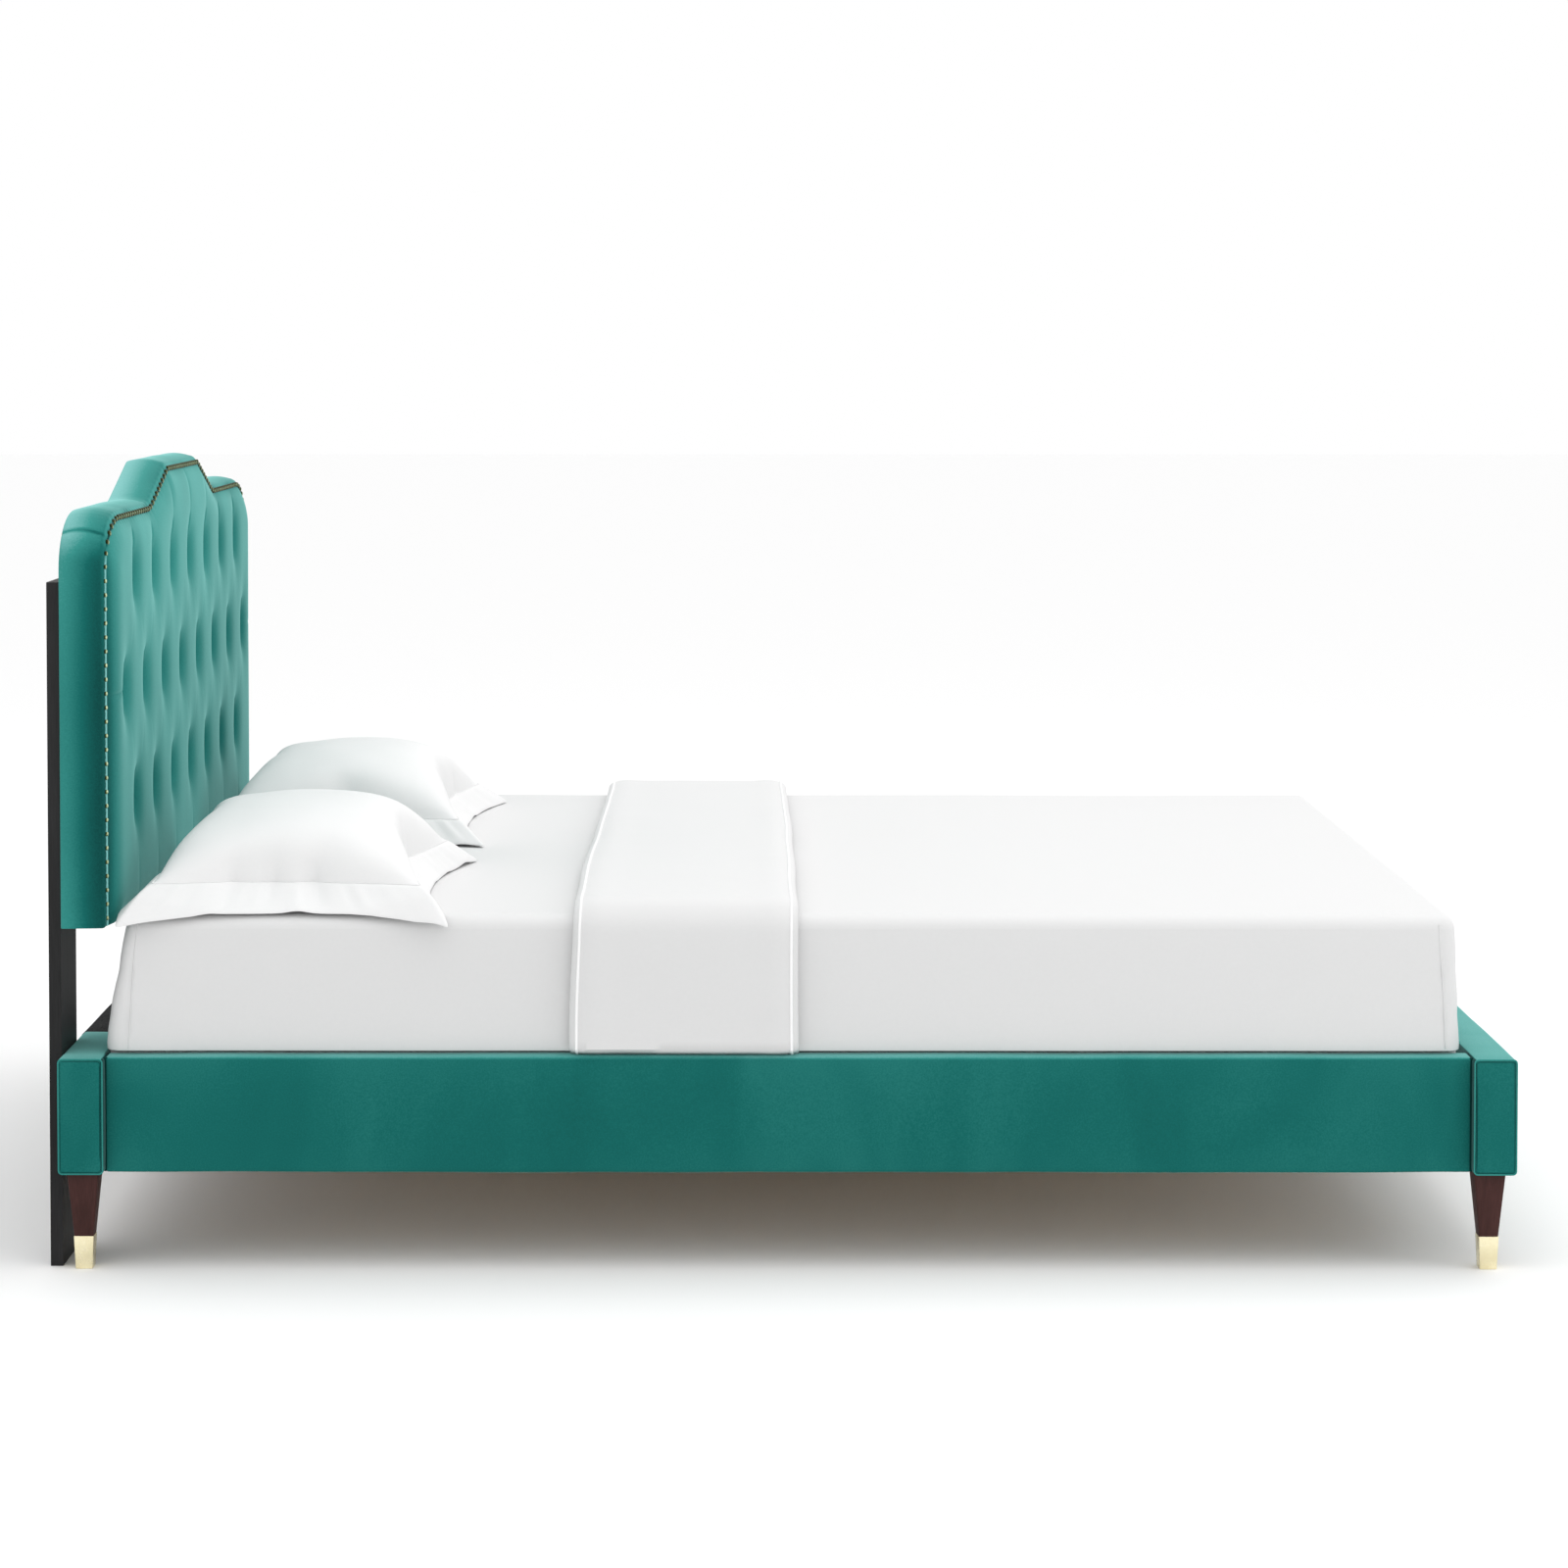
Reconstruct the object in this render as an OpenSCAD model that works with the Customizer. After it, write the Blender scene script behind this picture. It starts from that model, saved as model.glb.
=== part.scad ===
// Upholstered platform bed with a tufted, nail-trimmed headboard and its bedding.
// Millimetres. +X runs from the head to the foot, +Z is up, and the origin is on the
// floor under the middle of the bed.

/* [Overall] */
// Length from the back of the headboard legs to the face of the foot rail
bed_l = 2187; // [2150:1:2250]
// Width over the head and foot rails
bed_w = 1650; // [1640:1:1680]
// Thickness of the velvet with its backing
cloth_t = 3; // [2:0.5:4]

/* [Headboard] */
// Width of the headboard
board_w = 1588; // [1560:1:1620]
// Height of the headboard's lower edge
board_z0 = 509; // [480:1:560]
// Height of the shoulders
shoulder_z = 1129; // [1120:1:1160]
// Height of the raised middle
crest_z = 1187; // [1170:1:1220]
// Half width of the raised middle's flat top
crest_half = 172; // [150:1:200]
// Half width at the foot of the slopes
slope_half = 356; // [320:1:400]
// Width of a rounded shoulder corner
corner_w = 130; // [80:1:160]
// Height of a rounded shoulder corner
corner_h = 86; // [60:1:120]
// Thickness at the nail-trimmed border
board_t = 69; // [60:1:80]
// How far the tufted pad stands in front of the border
pad_rise = 10; // [4:1:14]
// Distance from the outline to the tufted pad
pad_inset = 26; // [20:1:40]
// Thickness of the plywood back
panel_t = 12; // [9:1:15]
// Thickness of the timber frame
frame_t = 22; // [16:1:26]
// Width of a stile or rail of the timber frame
frame_w = 80; // [60:1:100]

/* [Trim and tufting] */
// Distance between neighbouring buttons in a row
tuft_pitch = 190; // [180:1:192]
// Heights of the three button rows, the top one first
tuft_z = [1025, 855, 680];
// Number of buttons in each row
tuft_count = [7, 8, 7];
// Depth of a tuft below the pad
tuft_d = 26; // [20:1:30]
// Radius of a tuft's mouth
tuft_mouth_r = 30; // [24:1:34]
// Radius of a covered button
button_r = 11; // [8:0.5:13]
// Thickness of a covered button
button_t = 7; // [4:0.5:9]
// Radius of a nail head
nail_r = 4.5; // [4:0.5:6]
// Height of a nail head
nail_h = 3; // [2:0.5:4]
// Distance between neighbouring nails
nail_pitch = 21; // [16:1:26]
// Distance from the outline to the line of nails
nail_inset = 12; // [10:1:14]

/* [Rails] */
// Height of the rails' lower edge above the floor
rail_z0 = 146; // [130:1:160]
// Height of the rails
rail_h = 173; // [165:1:190]
// Thickness of the head rail
head_rail_t = 67; // [60:1:80]
// Thickness of the foot rail
foot_rail_t = 64; // [60:1:80]
// Thickness of a side rail
side_rail_t = 40; // [36:1:42]
// How far a side rail is set in from the head and foot rails' ends
side_inset = 18; // [12:1:18]
// Gap at each end of a side rail
rail_gap = 2.5; // [1:0.5:4]
// Length of the velvet sleeve at each end of the head rail
sleeve_l = 226; // [200:1:260]
// Radius of the rails' soft edges
edge_r = 6; // [4:1:8]

/* [Headboard legs] */
// Thickness of a headboard leg
plank_t = 18.5; // [16:0.5:20]
// Width of a headboard leg
plank_w = 127; // [100:1:140]
// Height of a headboard leg
plank_h = 1026; // [960:1:1040]
// Distance from the headboard's side to a headboard leg
plank_inset = 7; // [4:1:30]

/* [Corner legs] */
// Width of a leg at the top
leg_top = 46.5; // [42:0.5:48]
// Width of a leg where its ferrule starts
leg_mid = 30; // [28:0.5:34]
// Width of a ferrule at the floor
leg_foot = 25.5; // [24:0.5:30]
// Height of a ferrule
ferrule_h = 50; // [40:1:60]
// Thickness of a ferrule's wall
ferrule_t = 1.2; // [0.8:0.1:1.5]

/* [Slats and centre support] */
// Number of slats
slat_n = 12; // [12]
// Width of a slat
slat_w = 90; // [70:1:110]
// Thickness of a slat
slat_t = 18; // [15:1:20]
// Distance from the top of the rails down to the top of the slats
slat_drop = 50; // [45:1:60]
// Width and height of the centre beam
beam_w = 45; // [40:1:50]
// Distance from the middle of the bed to a centre leg
centre_leg_x = 340; // [300:1:400]
// Travel of a levelling foot
foot_travel = 10; // [6:1:11]

/* [Bedding] */
// Height of the mattress
mattress_h = 256; // [240:1:270]
// Width of the mattress
mattress_w = 1524; // [1510:1:1526]
// Radius of the mattress's edges
mattress_r = 22; // [15:1:30]
// Thickness of the folded blanket
blanket_t = 27.5; // [15:0.5:28]
// Width of the folded blanket along the bed
blanket_l = 339; // [300:1:450]
// Length of a pillow from the headboard to its front edge
pillow_l = 500; // [450:1:520]
// Height of a pillow
pillow_h = 148; // [120:1:170]

/* [Hidden] */
$fn = 48;

// Gap that keeps loose bedding clear of what it lies on
rest_gap = 0.3;
// Long enough to cut right through any piece here
through = 4000;
// How far a cut runs past the face that it opens
cut = 1;
// How far a ferrule's hollow runs past its rim, little enough to keep the wall's thickness
rim_cut = 0.01;

// Headboard: planes across its thickness, from the back to the front
head_x = -bed_l / 2;
foot_x = bed_l / 2;
board_x0 = head_x + plank_t;
back_cloth_t = 1;
panel_x0 = board_x0 + back_cloth_t;
frame_x0 = panel_x0 + panel_t;
foam_x0 = frame_x0 + frame_t;
border_x = board_x0 + board_t;
pad_x = border_x + pad_rise;
skin_t = cloth_t - 1;
frame_inset = 14;
slope_fillet = 110;
crest_round = 40;
// Height of the lowest nails above the headboard's lower edge
nail_lift = 14;
// Length left bare at the end of the line of nails
nail_end = 0.3;
// Room round a button at the bottom of its tuft
tuft_room = 2;

// Rails
rail_z1 = rail_z0 + rail_h;
head_rail_x1 = board_x0 + head_rail_t;
foot_rail_x0 = foot_x - foot_rail_t;
side_y1 = bed_w / 2 - side_inset;
side_y0 = side_y1 - side_rail_t;
side_x0 = head_rail_x1 + rail_gap;
side_x1 = foot_rail_x0 - rail_gap;
head_rail_lo = [board_x0, -bed_w / 2, rail_z0];
head_rail_hi = [head_rail_x1, bed_w / 2, rail_z1];
foot_rail_lo = [foot_rail_x0, -bed_w / 2, rail_z0];
foot_rail_hi = [foot_x, bed_w / 2, rail_z1];
wall = cloth_t * [1, 1, 1];

// Corner legs; leg_in is from a rail's end or face to the middle of a leg
leg_in_y = 33;
leg_in_head = 34.5;
leg_in_foot = 37.5;
leg_y = bed_w / 2 - leg_in_y;
leg_head_x = board_x0 + leg_in_head;
leg_foot_x = foot_x - leg_in_foot;
leg_clear = 0.2;

// Slats, ledgers and the centre beam
slat_z1 = rail_z1 - slat_drop;
slat_z0 = slat_z1 - slat_t;
slat_play = 7;
slat_half = side_y0 - slat_play;
slat_end = 60;
slat_x0 = head_rail_x1 + slat_end;
slat_x1 = foot_rail_x0 - slat_end - slat_w;
slat_pitch = (slat_x1 - slat_x0) / (slat_n - 1);
ledger_t = 25;
ledger_h = 40;
ledger_end = 66;
beam_z0 = slat_z0 - beam_w;
beam_play = 1;
strap_w = 38;
strap_t = 1.5;
strap_y = 380;

// Steel brackets
plate_t = 3;
bracket_l = 60;
bracket_h = 100;
bracket_lift = 10;
bracket_z0 = rail_z0 + bracket_lift;
bracket_hole_z = 25;
bracket_hole_x = 36;
seat_l = 42;
seat_w = 70;
seat_hole_y = seat_w / 3;
seat_hole_z = 25;

// Centre legs and their levelling feet
centre_leg_w = 40;
foot_disc_r = 17.5;
foot_disc_h = 8;
foot_stem_r = 4;
foot_stem_h = 42;
bore_play = 0.05;
foot_room = 2;
bore_end = 4;
centre_leg_z0 = foot_disc_h + foot_travel + foot_room;
bore_z1 = foot_disc_h + foot_stem_h + foot_travel + bore_end;

// Fasteners
bolt_r = 4;
bolt_head_r = 7;
bolt_head_h = 4;
plank_head_r = 9;
plank_head_h = 5;
plank_bore_r = 10;
plank_bore_h = plank_head_h + 1;
plank_bolt_z = [rail_z0 + 45, rail_z1 - 40, board_z0 + 90, plank_h - 76];
screw_r = 2.5;
screw_l = 32;
slat_screw_in = 10;

// Bedding
mattress_head_gap = 2;
mattress_foot_gap = 9.5;
mattress_x0 = head_rail_x1 + mattress_head_gap;
mattress_x1 = foot_rail_x0 - mattress_foot_gap;
mattress_z0 = slat_z1 + rest_gap;
mattress_z1 = slat_z1 + mattress_h;
head_lean = 16;
foot_lean = 6;
blanket_x1 = 27;
blanket_x0 = blanket_x1 - blanket_l;
pillow_gap = 1;
pillow_x0 = pad_x + pillow_gap;
pillow_near_y = [-790, -171];
pillow_far_y = [-8, 614];
flange_t = 6;
// Levels of a pillow: height above its flange and half length, as shares of its own
pillow_levels = [[0, 0.36], [0.45, 0.3], [0.8, 0.2], [1, 0.08]];
// Where a pillow is highest, as a share of its length, and how much wider than long it is there
pillow_crown = 0.47;
pillow_spread = 1.15;

// Points of an arc about centre c from angle a0 to a1, with radii rx and ry
function arc(c, rx, ry, a0, a1, steps) =
    [for (i = [0:steps]) let (a = a0 + (a1 - a0) * i / steps) c + [rx * cos(a), ry * sin(a)]];

// Unit vector to the left of the line from a to b
function left_of(a, b) = let (d = b - a) [-d.y, d.x] / norm(d);

// Closed outline moved inwards by d; its points run anticlockwise
function inset(pts, d) = let (n = len(pts))
    [for (i = [0:n - 1])
        let (u = left_of(pts[(i + n - 1) % n], pts[i]), v = left_of(pts[i], pts[(i + 1) % n]))
        pts[i] + d * (u + v) / (1 + u * v)];

// Right half of the headboard's outline, from the bottom corner up to the middle
slope_a = atan((crest_z - shoulder_z) / (slope_half - crest_half));
slope_t = slope_fillet * tan(slope_a / 2);
crest_t = crest_round * tan(slope_a / 2);
half_outline = concat(
    [[board_w / 2, board_z0]],
    arc([board_w / 2 - corner_w, shoulder_z - corner_h], corner_w, corner_h, 0, 90, 12),
    arc([slope_half + slope_t, shoulder_z + slope_fillet],
        slope_fillet, slope_fillet, 270, 270 - slope_a, 4),
    arc([crest_half - crest_t, crest_z - crest_round],
        crest_round, crest_round, 90 - slope_a, 90, 3)
);
last = len(half_outline) - 1;
outline = concat(half_outline, [for (i = [last:-1:0]) [-half_outline[i].x, half_outline[i].y]]);

// Line of the nails: the inset outline without its bottom edge, up one side and down the other
nail_line = inset(outline, nail_inset);
nail_n = len(nail_line);
nail_foot = [0, nail_lift - nail_inset];
nail_path = concat([nail_line[0] + nail_foot],
    [for (i = [1:nail_n - 2]) nail_line[i]], [nail_line[nail_n - 1] + nail_foot]);
steps_along = [for (i = [0:nail_n - 2]) norm(nail_path[i + 1] - nail_path[i])];
function reach(i) = i == 0 ? 0 : reach(i - 1) + steps_along[i - 1];
reaches = [for (i = [0:nail_n - 1]) reach(i)];
path_l = reaches[nail_n - 1] - nail_end;
nail_count = floor(path_l / nail_pitch) + 1;

// Point at the distance s along the line of nails
function nail_at(s) = let (i = max([for (k = [0:nail_n - 2]) reaches[k] <= s ? k : 0]))
    nail_path[i] + (nail_path[i + 1] - nail_path[i]) * (s - reaches[i]) / steps_along[i];

// Places of the buttons as [y, z]
tufts = [for (row = [0:len(tuft_z) - 1], i = [0:tuft_count[row] - 1])
    [(i - (tuft_count[row] - 1) / 2) * tuft_pitch, tuft_z[row]]];

// Rounded rectangle between two corners
function round_box(lo, hi, r) = concat(
    arc([hi.x - r, hi.y - r], r, r, 0, 90, 5), arc([lo.x + r, hi.y - r], r, r, 90, 180, 5),
    arc([lo.x + r, lo.y + r], r, r, 180, 270, 5), arc([hi.x - r, lo.y + r], r, r, 270, 360, 5));

// Extrudes an outline of [y, z] points along X
module along_x(x0, x1, pts)
    translate([x0, 0, 0]) rotate([90, 0, 90]) linear_extrude(x1 - x0) polygon(pts);

// Extrudes an outline of [x, z] points along Y
module along_y(y0, y1, pts)
    translate([0, y1, 0]) rotate([90, 0, 0]) linear_extrude(y1 - y0) polygon(pts);

// Box between two corners
module box(lo, hi) translate(lo) cube(hi - lo);

// Repeats its children on both sides, mirrored
module both_sides() {
    children();
    mirror([0, 1, 0]) children();
}

// Cylinder along +X from p
module rod_x(p, l, r) translate(p) rotate([0, 90, 0]) cylinder(h = l, r = r);

// Cylinder along +Y from p
module rod_y(p, l, r) translate(p) rotate([-90, 0, 0]) cylinder(h = l, r = r);

// Headboard padding from x0 with its front skin_t * k behind the velvet's face
module padding(x0, k) {
    along_x(x0, border_x - skin_t * k, inset(outline, skin_t * k));
    along_x(x0, pad_x - skin_t * k, inset(outline, pad_inset + skin_t * k));
}

// The tuft hollows, each grown by g
module tuft_hollows(g)
    for (t = tufts) translate([pad_x - tuft_d - g, t.x, t.y]) rotate([0, 90, 0])
        cylinder(h = tuft_d + g, r1 = button_r + tuft_room + g, r2 = tuft_mouth_r + g);

// Plywood sheet that closes the headboard's back
module headboard_panel() color("burlywood")
    along_x(panel_x0, frame_x0, inset(outline, skin_t));

// Timber stiles and rails behind the foam
module headboard_frame() color("wheat") difference() {
    along_x(frame_x0, foam_x0, inset(outline, frame_inset));
    box([frame_x0 - cut, -board_w / 2 + frame_inset + frame_w, board_z0 + frame_inset + frame_w],
        [foam_x0 + cut, -frame_w / 2, shoulder_z - corner_h - frame_w]);
    box([frame_x0 - cut, frame_w / 2, board_z0 + frame_inset + frame_w],
        [foam_x0 + cut, board_w / 2 - frame_inset - frame_w, shoulder_z - corner_h - frame_w]);
}

// Foam over the frame's front and round its edges
module headboard_foam() color("lightyellow") difference() {
    padding(frame_x0, 1);
    along_x(frame_x0 - cut, foam_x0, inset(outline, frame_inset));
    tuft_hollows(skin_t);
}

// Velvet over the front, the top, the sides and the lower edge
module headboard_cover() color("teal") difference() {
    padding(panel_x0, 0);
    difference() {
        union() {
            padding(frame_x0, 1);
            along_x(panel_x0 - cut, frame_x0 + cut, inset(outline, skin_t));
        }
        tuft_hollows(skin_t);
    }
    tuft_hollows(0);
}

// Black lining stapled over the back
module headboard_back_cloth() color("black")
    along_x(board_x0, panel_x0, outline);

// Covered buttons at the bottom of the tufts
module headboard_buttons() color("darkcyan")
    for (t = tufts) translate([pad_x - tuft_d, t.x, t.y]) rotate([0, 90, 0]) {
        cylinder(h = button_t / 2, r = button_r);
        translate([0, 0, button_t / 2])
            cylinder(h = button_t / 2, r1 = button_r, r2 = button_r / 2);
    }

// Nail heads along the border
module headboard_nails() color("goldenrod")
    for (k = [0:nail_count - 1]) let (p = nail_at(path_l * k / (nail_count - 1)))
        translate([border_x, p.x, p.y]) rotate([0, 90, 0])
            cylinder(h = nail_h, r1 = nail_r, r2 = nail_r / 2);

// Plank that carries the headboard, with counterbores for its bolts
module headboard_leg(side) color("dimgray")
    let (y = side * (board_w / 2 - plank_inset - plank_w / 2)) difference() {
        box([head_x, y - plank_w / 2, 0], [board_x0, y + plank_w / 2, plank_h]);
        for (z = plank_bolt_z) rod_x([head_x - cut, y, z], plank_bore_h + cut, plank_bore_r);
    }
module headboard_leg_near() headboard_leg(-1);
module headboard_leg_far() headboard_leg(1);

// Bolts from the headboard legs into the head rail and the headboard
module headboard_leg_bolts() color("silver") both_sides()
    for (z = plank_bolt_z) let (y = board_w / 2 - plank_inset - plank_w / 2) {
        rod_x([head_x + plank_bore_h - plank_head_h, y, z], plank_head_h, plank_head_r);
        rod_x([head_x + plank_head_h, y, z], plank_t + cloth_t + frame_t, bolt_r);
    }

// Timber core of a rail between two corners of its cover
module rail_core(lo, hi) color("wheat")
    box(lo + cloth_t * [1, 1, 1], hi - cloth_t * [1, 1, 1]);

// Soft-edged velvet round a core, extruded along X
module rail_cover_x(lo, hi) color("teal") difference() {
    along_x(lo.x, hi.x, round_box([lo.y, lo.z], [hi.y, hi.z], edge_r));
    box(lo + cloth_t * [1, 1, 1], hi - cloth_t * [1, 1, 1]);
}

// Soft-edged velvet round a core, extruded along Y
module rail_cover_y(lo, hi, core_lo, core_hi) difference() {
    along_y(lo.y, hi.y, round_box([lo.x, lo.z], [hi.x, hi.z], edge_r));
    box(core_lo, core_hi);
}

module head_rail_core() rail_core(head_rail_lo, head_rail_hi);
module foot_rail_core() rail_core(foot_rail_lo, foot_rail_hi);

// Velvet sleeve on each end of the head rail
module head_rail_cover() color("teal") both_sides()
    rail_cover_y([board_x0, bed_w / 2 - sleeve_l, rail_z0], head_rail_hi,
        [board_x0 + cloth_t, 0, rail_z0 + cloth_t], head_rail_hi - wall);

// Black lining round the middle of the head rail
module head_rail_cloth() color("black")
    rail_cover_y([board_x0, -bed_w / 2 + sleeve_l, rail_z0],
        [head_rail_x1, bed_w / 2 - sleeve_l, rail_z1],
        head_rail_lo + wall, head_rail_hi - wall);

module foot_rail_cover() color("teal")
    rail_cover_y(foot_rail_lo, foot_rail_hi, foot_rail_lo + wall, foot_rail_hi - wall);

module side_rail_near_core()
    rail_core([side_x0, -side_y1, rail_z0], [side_x1, -side_y0, rail_z1]);
module side_rail_far_core()
    rail_core([side_x0, side_y0, rail_z0], [side_x1, side_y1, rail_z1]);
module side_rail_near_cover()
    rail_cover_x([side_x0, -side_y1, rail_z0], [side_x1, -side_y0, rail_z1]);
module side_rail_far_cover()
    rail_cover_x([side_x0, side_y0, rail_z0], [side_x1, side_y1, rail_z1]);

// Steel angle that joins a side rail to the rail at x; toward points into the bed
module bracket(x, toward, side) color("silver") translate([x, side * side_y0, bracket_z0])
    mirror([toward < 0 ? 1 : 0, 0, 0]) mirror([0, side > 0 ? 1 : 0, 0]) {
        box([0, 0, 0], [bracket_l, plate_t, bracket_h]);
        box([0, 0, 0], [plate_t, bracket_l, bracket_h]);
    }
module bracket_head_near() bracket(head_rail_x1, 1, -1);
module bracket_head_far() bracket(head_rail_x1, 1, 1);
module bracket_foot_near() bracket(foot_rail_x0, -1, -1);
module bracket_foot_far() bracket(foot_rail_x0, -1, 1);

// Bolts of the four brackets and of the two beam brackets
module frame_bolts() color("gray") {
    both_sides() for (end = [0, 1], dz = [bracket_hole_z, bracket_h - bracket_hole_z])
        let (z = bracket_z0 + dz, run = bracket_hole_x,
            x = end == 0 ? head_rail_x1 + plate_t : foot_rail_x0 - plate_t,
            s = end == 0 ? 1 : -1) {
            mirror([end, 0, 0]) rod_x([s * x, side_y0 - run, z], bolt_head_h, bolt_head_r);
            mirror([end, 0, 0]) rod_x([s * x - screw_l, side_y0 - run, z], screw_l, bolt_r);
            rod_y([x + s * run, side_y0 - plate_t - bolt_head_h, z], bolt_head_h, bolt_head_r);
            rod_y([x + s * run, side_y0 - plate_t, z], screw_l, bolt_r);
        }
    for (y = [-seat_hole_y, seat_hole_y]) let (z = beam_z0 - seat_hole_z) {
        rod_x([head_rail_x1 + plate_t, y, z], bolt_head_h, bolt_head_r);
        rod_x([head_rail_x1 + plate_t - screw_l, y, z], screw_l, bolt_r);
        rod_x([foot_rail_x0 - plate_t - bolt_head_h, y, z], bolt_head_h, bolt_head_r);
        rod_x([foot_rail_x0 - plate_t, y, z], screw_l, bolt_r);
    }
}

// Timber strip inside a side rail, which carries the slats
module ledger(side) color("tan") let (y = side * (side_y0 - ledger_t / 2))
    box([side_x0 + ledger_end, y - ledger_t / 2, slat_z0 - ledger_h],
        [side_x1 - ledger_end, y + ledger_t / 2, slat_z0]);
module ledger_near() ledger(-1);
module ledger_far() ledger(1);

// Timber beam under the middle of the slats
module centre_beam() color("tan")
    box([head_rail_x1 + plate_t + beam_play, -beam_w / 2, beam_z0],
        [foot_rail_x0 - plate_t - beam_play, beam_w / 2, slat_z0]);

// Steel seat that holds an end of the centre beam at the rail at x
module beam_bracket(x, toward) color("silver") translate([x, 0, beam_z0])
    mirror([toward < 0 ? 1 : 0, 0, 0]) {
        box([0, -seat_w / 2, -seat_l], [plate_t, seat_w / 2, 0]);
        box([0, -seat_w / 2, -plate_t], [seat_l, seat_w / 2, 0]);
    }
module beam_bracket_head() beam_bracket(head_rail_x1, 1);
module beam_bracket_foot() beam_bracket(foot_rail_x0, -1);

// Post under the centre beam, bored for its levelling foot
module centre_leg(x) color("tan") difference() {
    box([x - centre_leg_w / 2, -centre_leg_w / 2, centre_leg_z0],
        [x + centre_leg_w / 2, centre_leg_w / 2, beam_z0]);
    translate([x, 0, centre_leg_z0 - cut])
        cylinder(h = bore_z1 - centre_leg_z0 + cut, r = foot_stem_r + bore_play);
}
module centre_leg_head() centre_leg(-centre_leg_x);
module centre_leg_foot() centre_leg(centre_leg_x);

// Levelling foot: a plastic disc on a threaded stem
module levelling_foot(x) color("black") translate([x, 0, 0]) {
    cylinder(h = foot_disc_h, r = foot_disc_r);
    cylinder(h = foot_disc_h + foot_stem_h, r = foot_stem_r);
}
module levelling_foot_head() levelling_foot(-centre_leg_x);
module levelling_foot_foot() levelling_foot(centre_leg_x);

// Square taper that stands on z0, w0 wide there and w1 wide at z1
module taper(z0, z1, w0, w1) translate([0, 0, z0])
    linear_extrude(z1 - z0, scale = w1 / w0) square(w0, center = true);

// Tapered wooden leg whose lower end fits in its ferrule
module corner_leg(x, side) color("saddlebrown") translate([x, side * leg_y, 0]) {
    taper(ferrule_h, rail_z0, leg_mid, leg_top);
    taper(ferrule_t + leg_clear, ferrule_h, leg_foot - 2 * (ferrule_t + leg_clear),
        leg_mid - 2 * (ferrule_t + leg_clear));
}
module leg_head_near() corner_leg(leg_head_x, -1);
module leg_head_far() corner_leg(leg_head_x, 1);
module leg_foot_near() corner_leg(leg_foot_x, -1);
module leg_foot_far() corner_leg(leg_foot_x, 1);

// Brass cup over the end of a leg
module ferrule(x, side) color("gold") translate([x, side * leg_y, 0]) difference() {
    taper(0, ferrule_h, leg_foot, leg_mid);
    taper(ferrule_t, ferrule_h + rim_cut, leg_foot - 2 * ferrule_t, leg_mid - 2 * ferrule_t);
}
module ferrule_head_near() ferrule(leg_head_x, -1);
module ferrule_head_far() ferrule(leg_head_x, 1);
module ferrule_foot_near() ferrule(leg_foot_x, -1);
module ferrule_foot_far() ferrule(leg_foot_x, 1);

// Hanger bolts that hold the corner legs to the rails
module leg_bolts() color("gray") both_sides()
    for (x = [leg_head_x, leg_foot_x]) translate([x, leg_y, rail_z0 - screw_l])
        cylinder(h = 2 * screw_l, r = bolt_r);

// Slat number i, counted from the head
module slat(i) color("wheat") let (x = slat_x0 + (i - 1) * slat_pitch)
    box([x, -slat_half, slat_z0], [x + slat_w, slat_half, slat_z1]);

// Webbing that keeps the slats apart
module slat_straps() color("whitesmoke") both_sides()
    box([slat_x0, strap_y - strap_w / 2, slat_z0 - strap_t],
        [slat_x1 + slat_w, strap_y + strap_w / 2, slat_z0]);

// Screws from the slats into the ledgers
module slat_screws() color("gray") both_sides() for (i = [1:slat_n])
    translate([slat_x0 + (i - 1) * slat_pitch + slat_w / 2, slat_half - slat_screw_in,
        slat_z1 - screw_l]) cylinder(h = screw_l, r = screw_r);

// Mattress under its fitted sheet, leaning in a little towards its top
module mattress() color("white") hull() for (y = [-1, 1]) {
    for (p = [[mattress_x0, 1], [mattress_x1, -1]])
        translate([p[0] + p[1] * mattress_r, y * (mattress_w / 2 - mattress_r),
            mattress_z0 + mattress_r]) sphere(r = mattress_r, $fn = 24);
    for (p = [[mattress_x0 + head_lean, 1], [mattress_x1 - foot_lean, -1]])
        translate([p[0] + p[1] * mattress_r, y * (mattress_w / 2 - mattress_r),
            mattress_z1 - mattress_r]) sphere(r = mattress_r, $fn = 24);
}

// Pillow in a flanged sham, lying flat against the headboard
module pillow(ys) color("white") let (z = mattress_z1 + rest_gap, x1 = pillow_x0 + pillow_l,
    m = [pillow_x0 + pillow_l * pillow_crown, (ys[0] + ys[1]) / 2]) hull() {
    box([pillow_x0, ys[0], z], [x1, ys[1], z + flange_t]);
    for (k = pillow_levels) translate([m.x, m.y, z + k[0] * (pillow_h - flange_t)])
        linear_extrude(flange_t)
            square(2 * k[1] * [pillow_l, (ys[1] - ys[0]) * pillow_spread], center = true);
}
module pillow_near() pillow(pillow_near_y);
module pillow_far() pillow(pillow_far_y);

// Folded blanket laid across the mattress and down both of its sides
module blanket() color("white") let (y0 = mattress_w / 2 + rest_gap, z0 = mattress_z1 + rest_gap)
    difference() {
        along_x(blanket_x0, blanket_x1, round_box(
            [-y0 - blanket_t, rail_z1 + rest_gap - blanket_t],
            [y0 + blanket_t, z0 + blanket_t], blanket_t));
        along_x(blanket_x0 - cut, blanket_x1 + cut,
            [[-y0, 0], [y0, 0], [y0, z0], [-y0, z0]]);
        box([-through / 2, -through / 2, 0], [through / 2, through / 2, rail_z1 + rest_gap]);
    }

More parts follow.
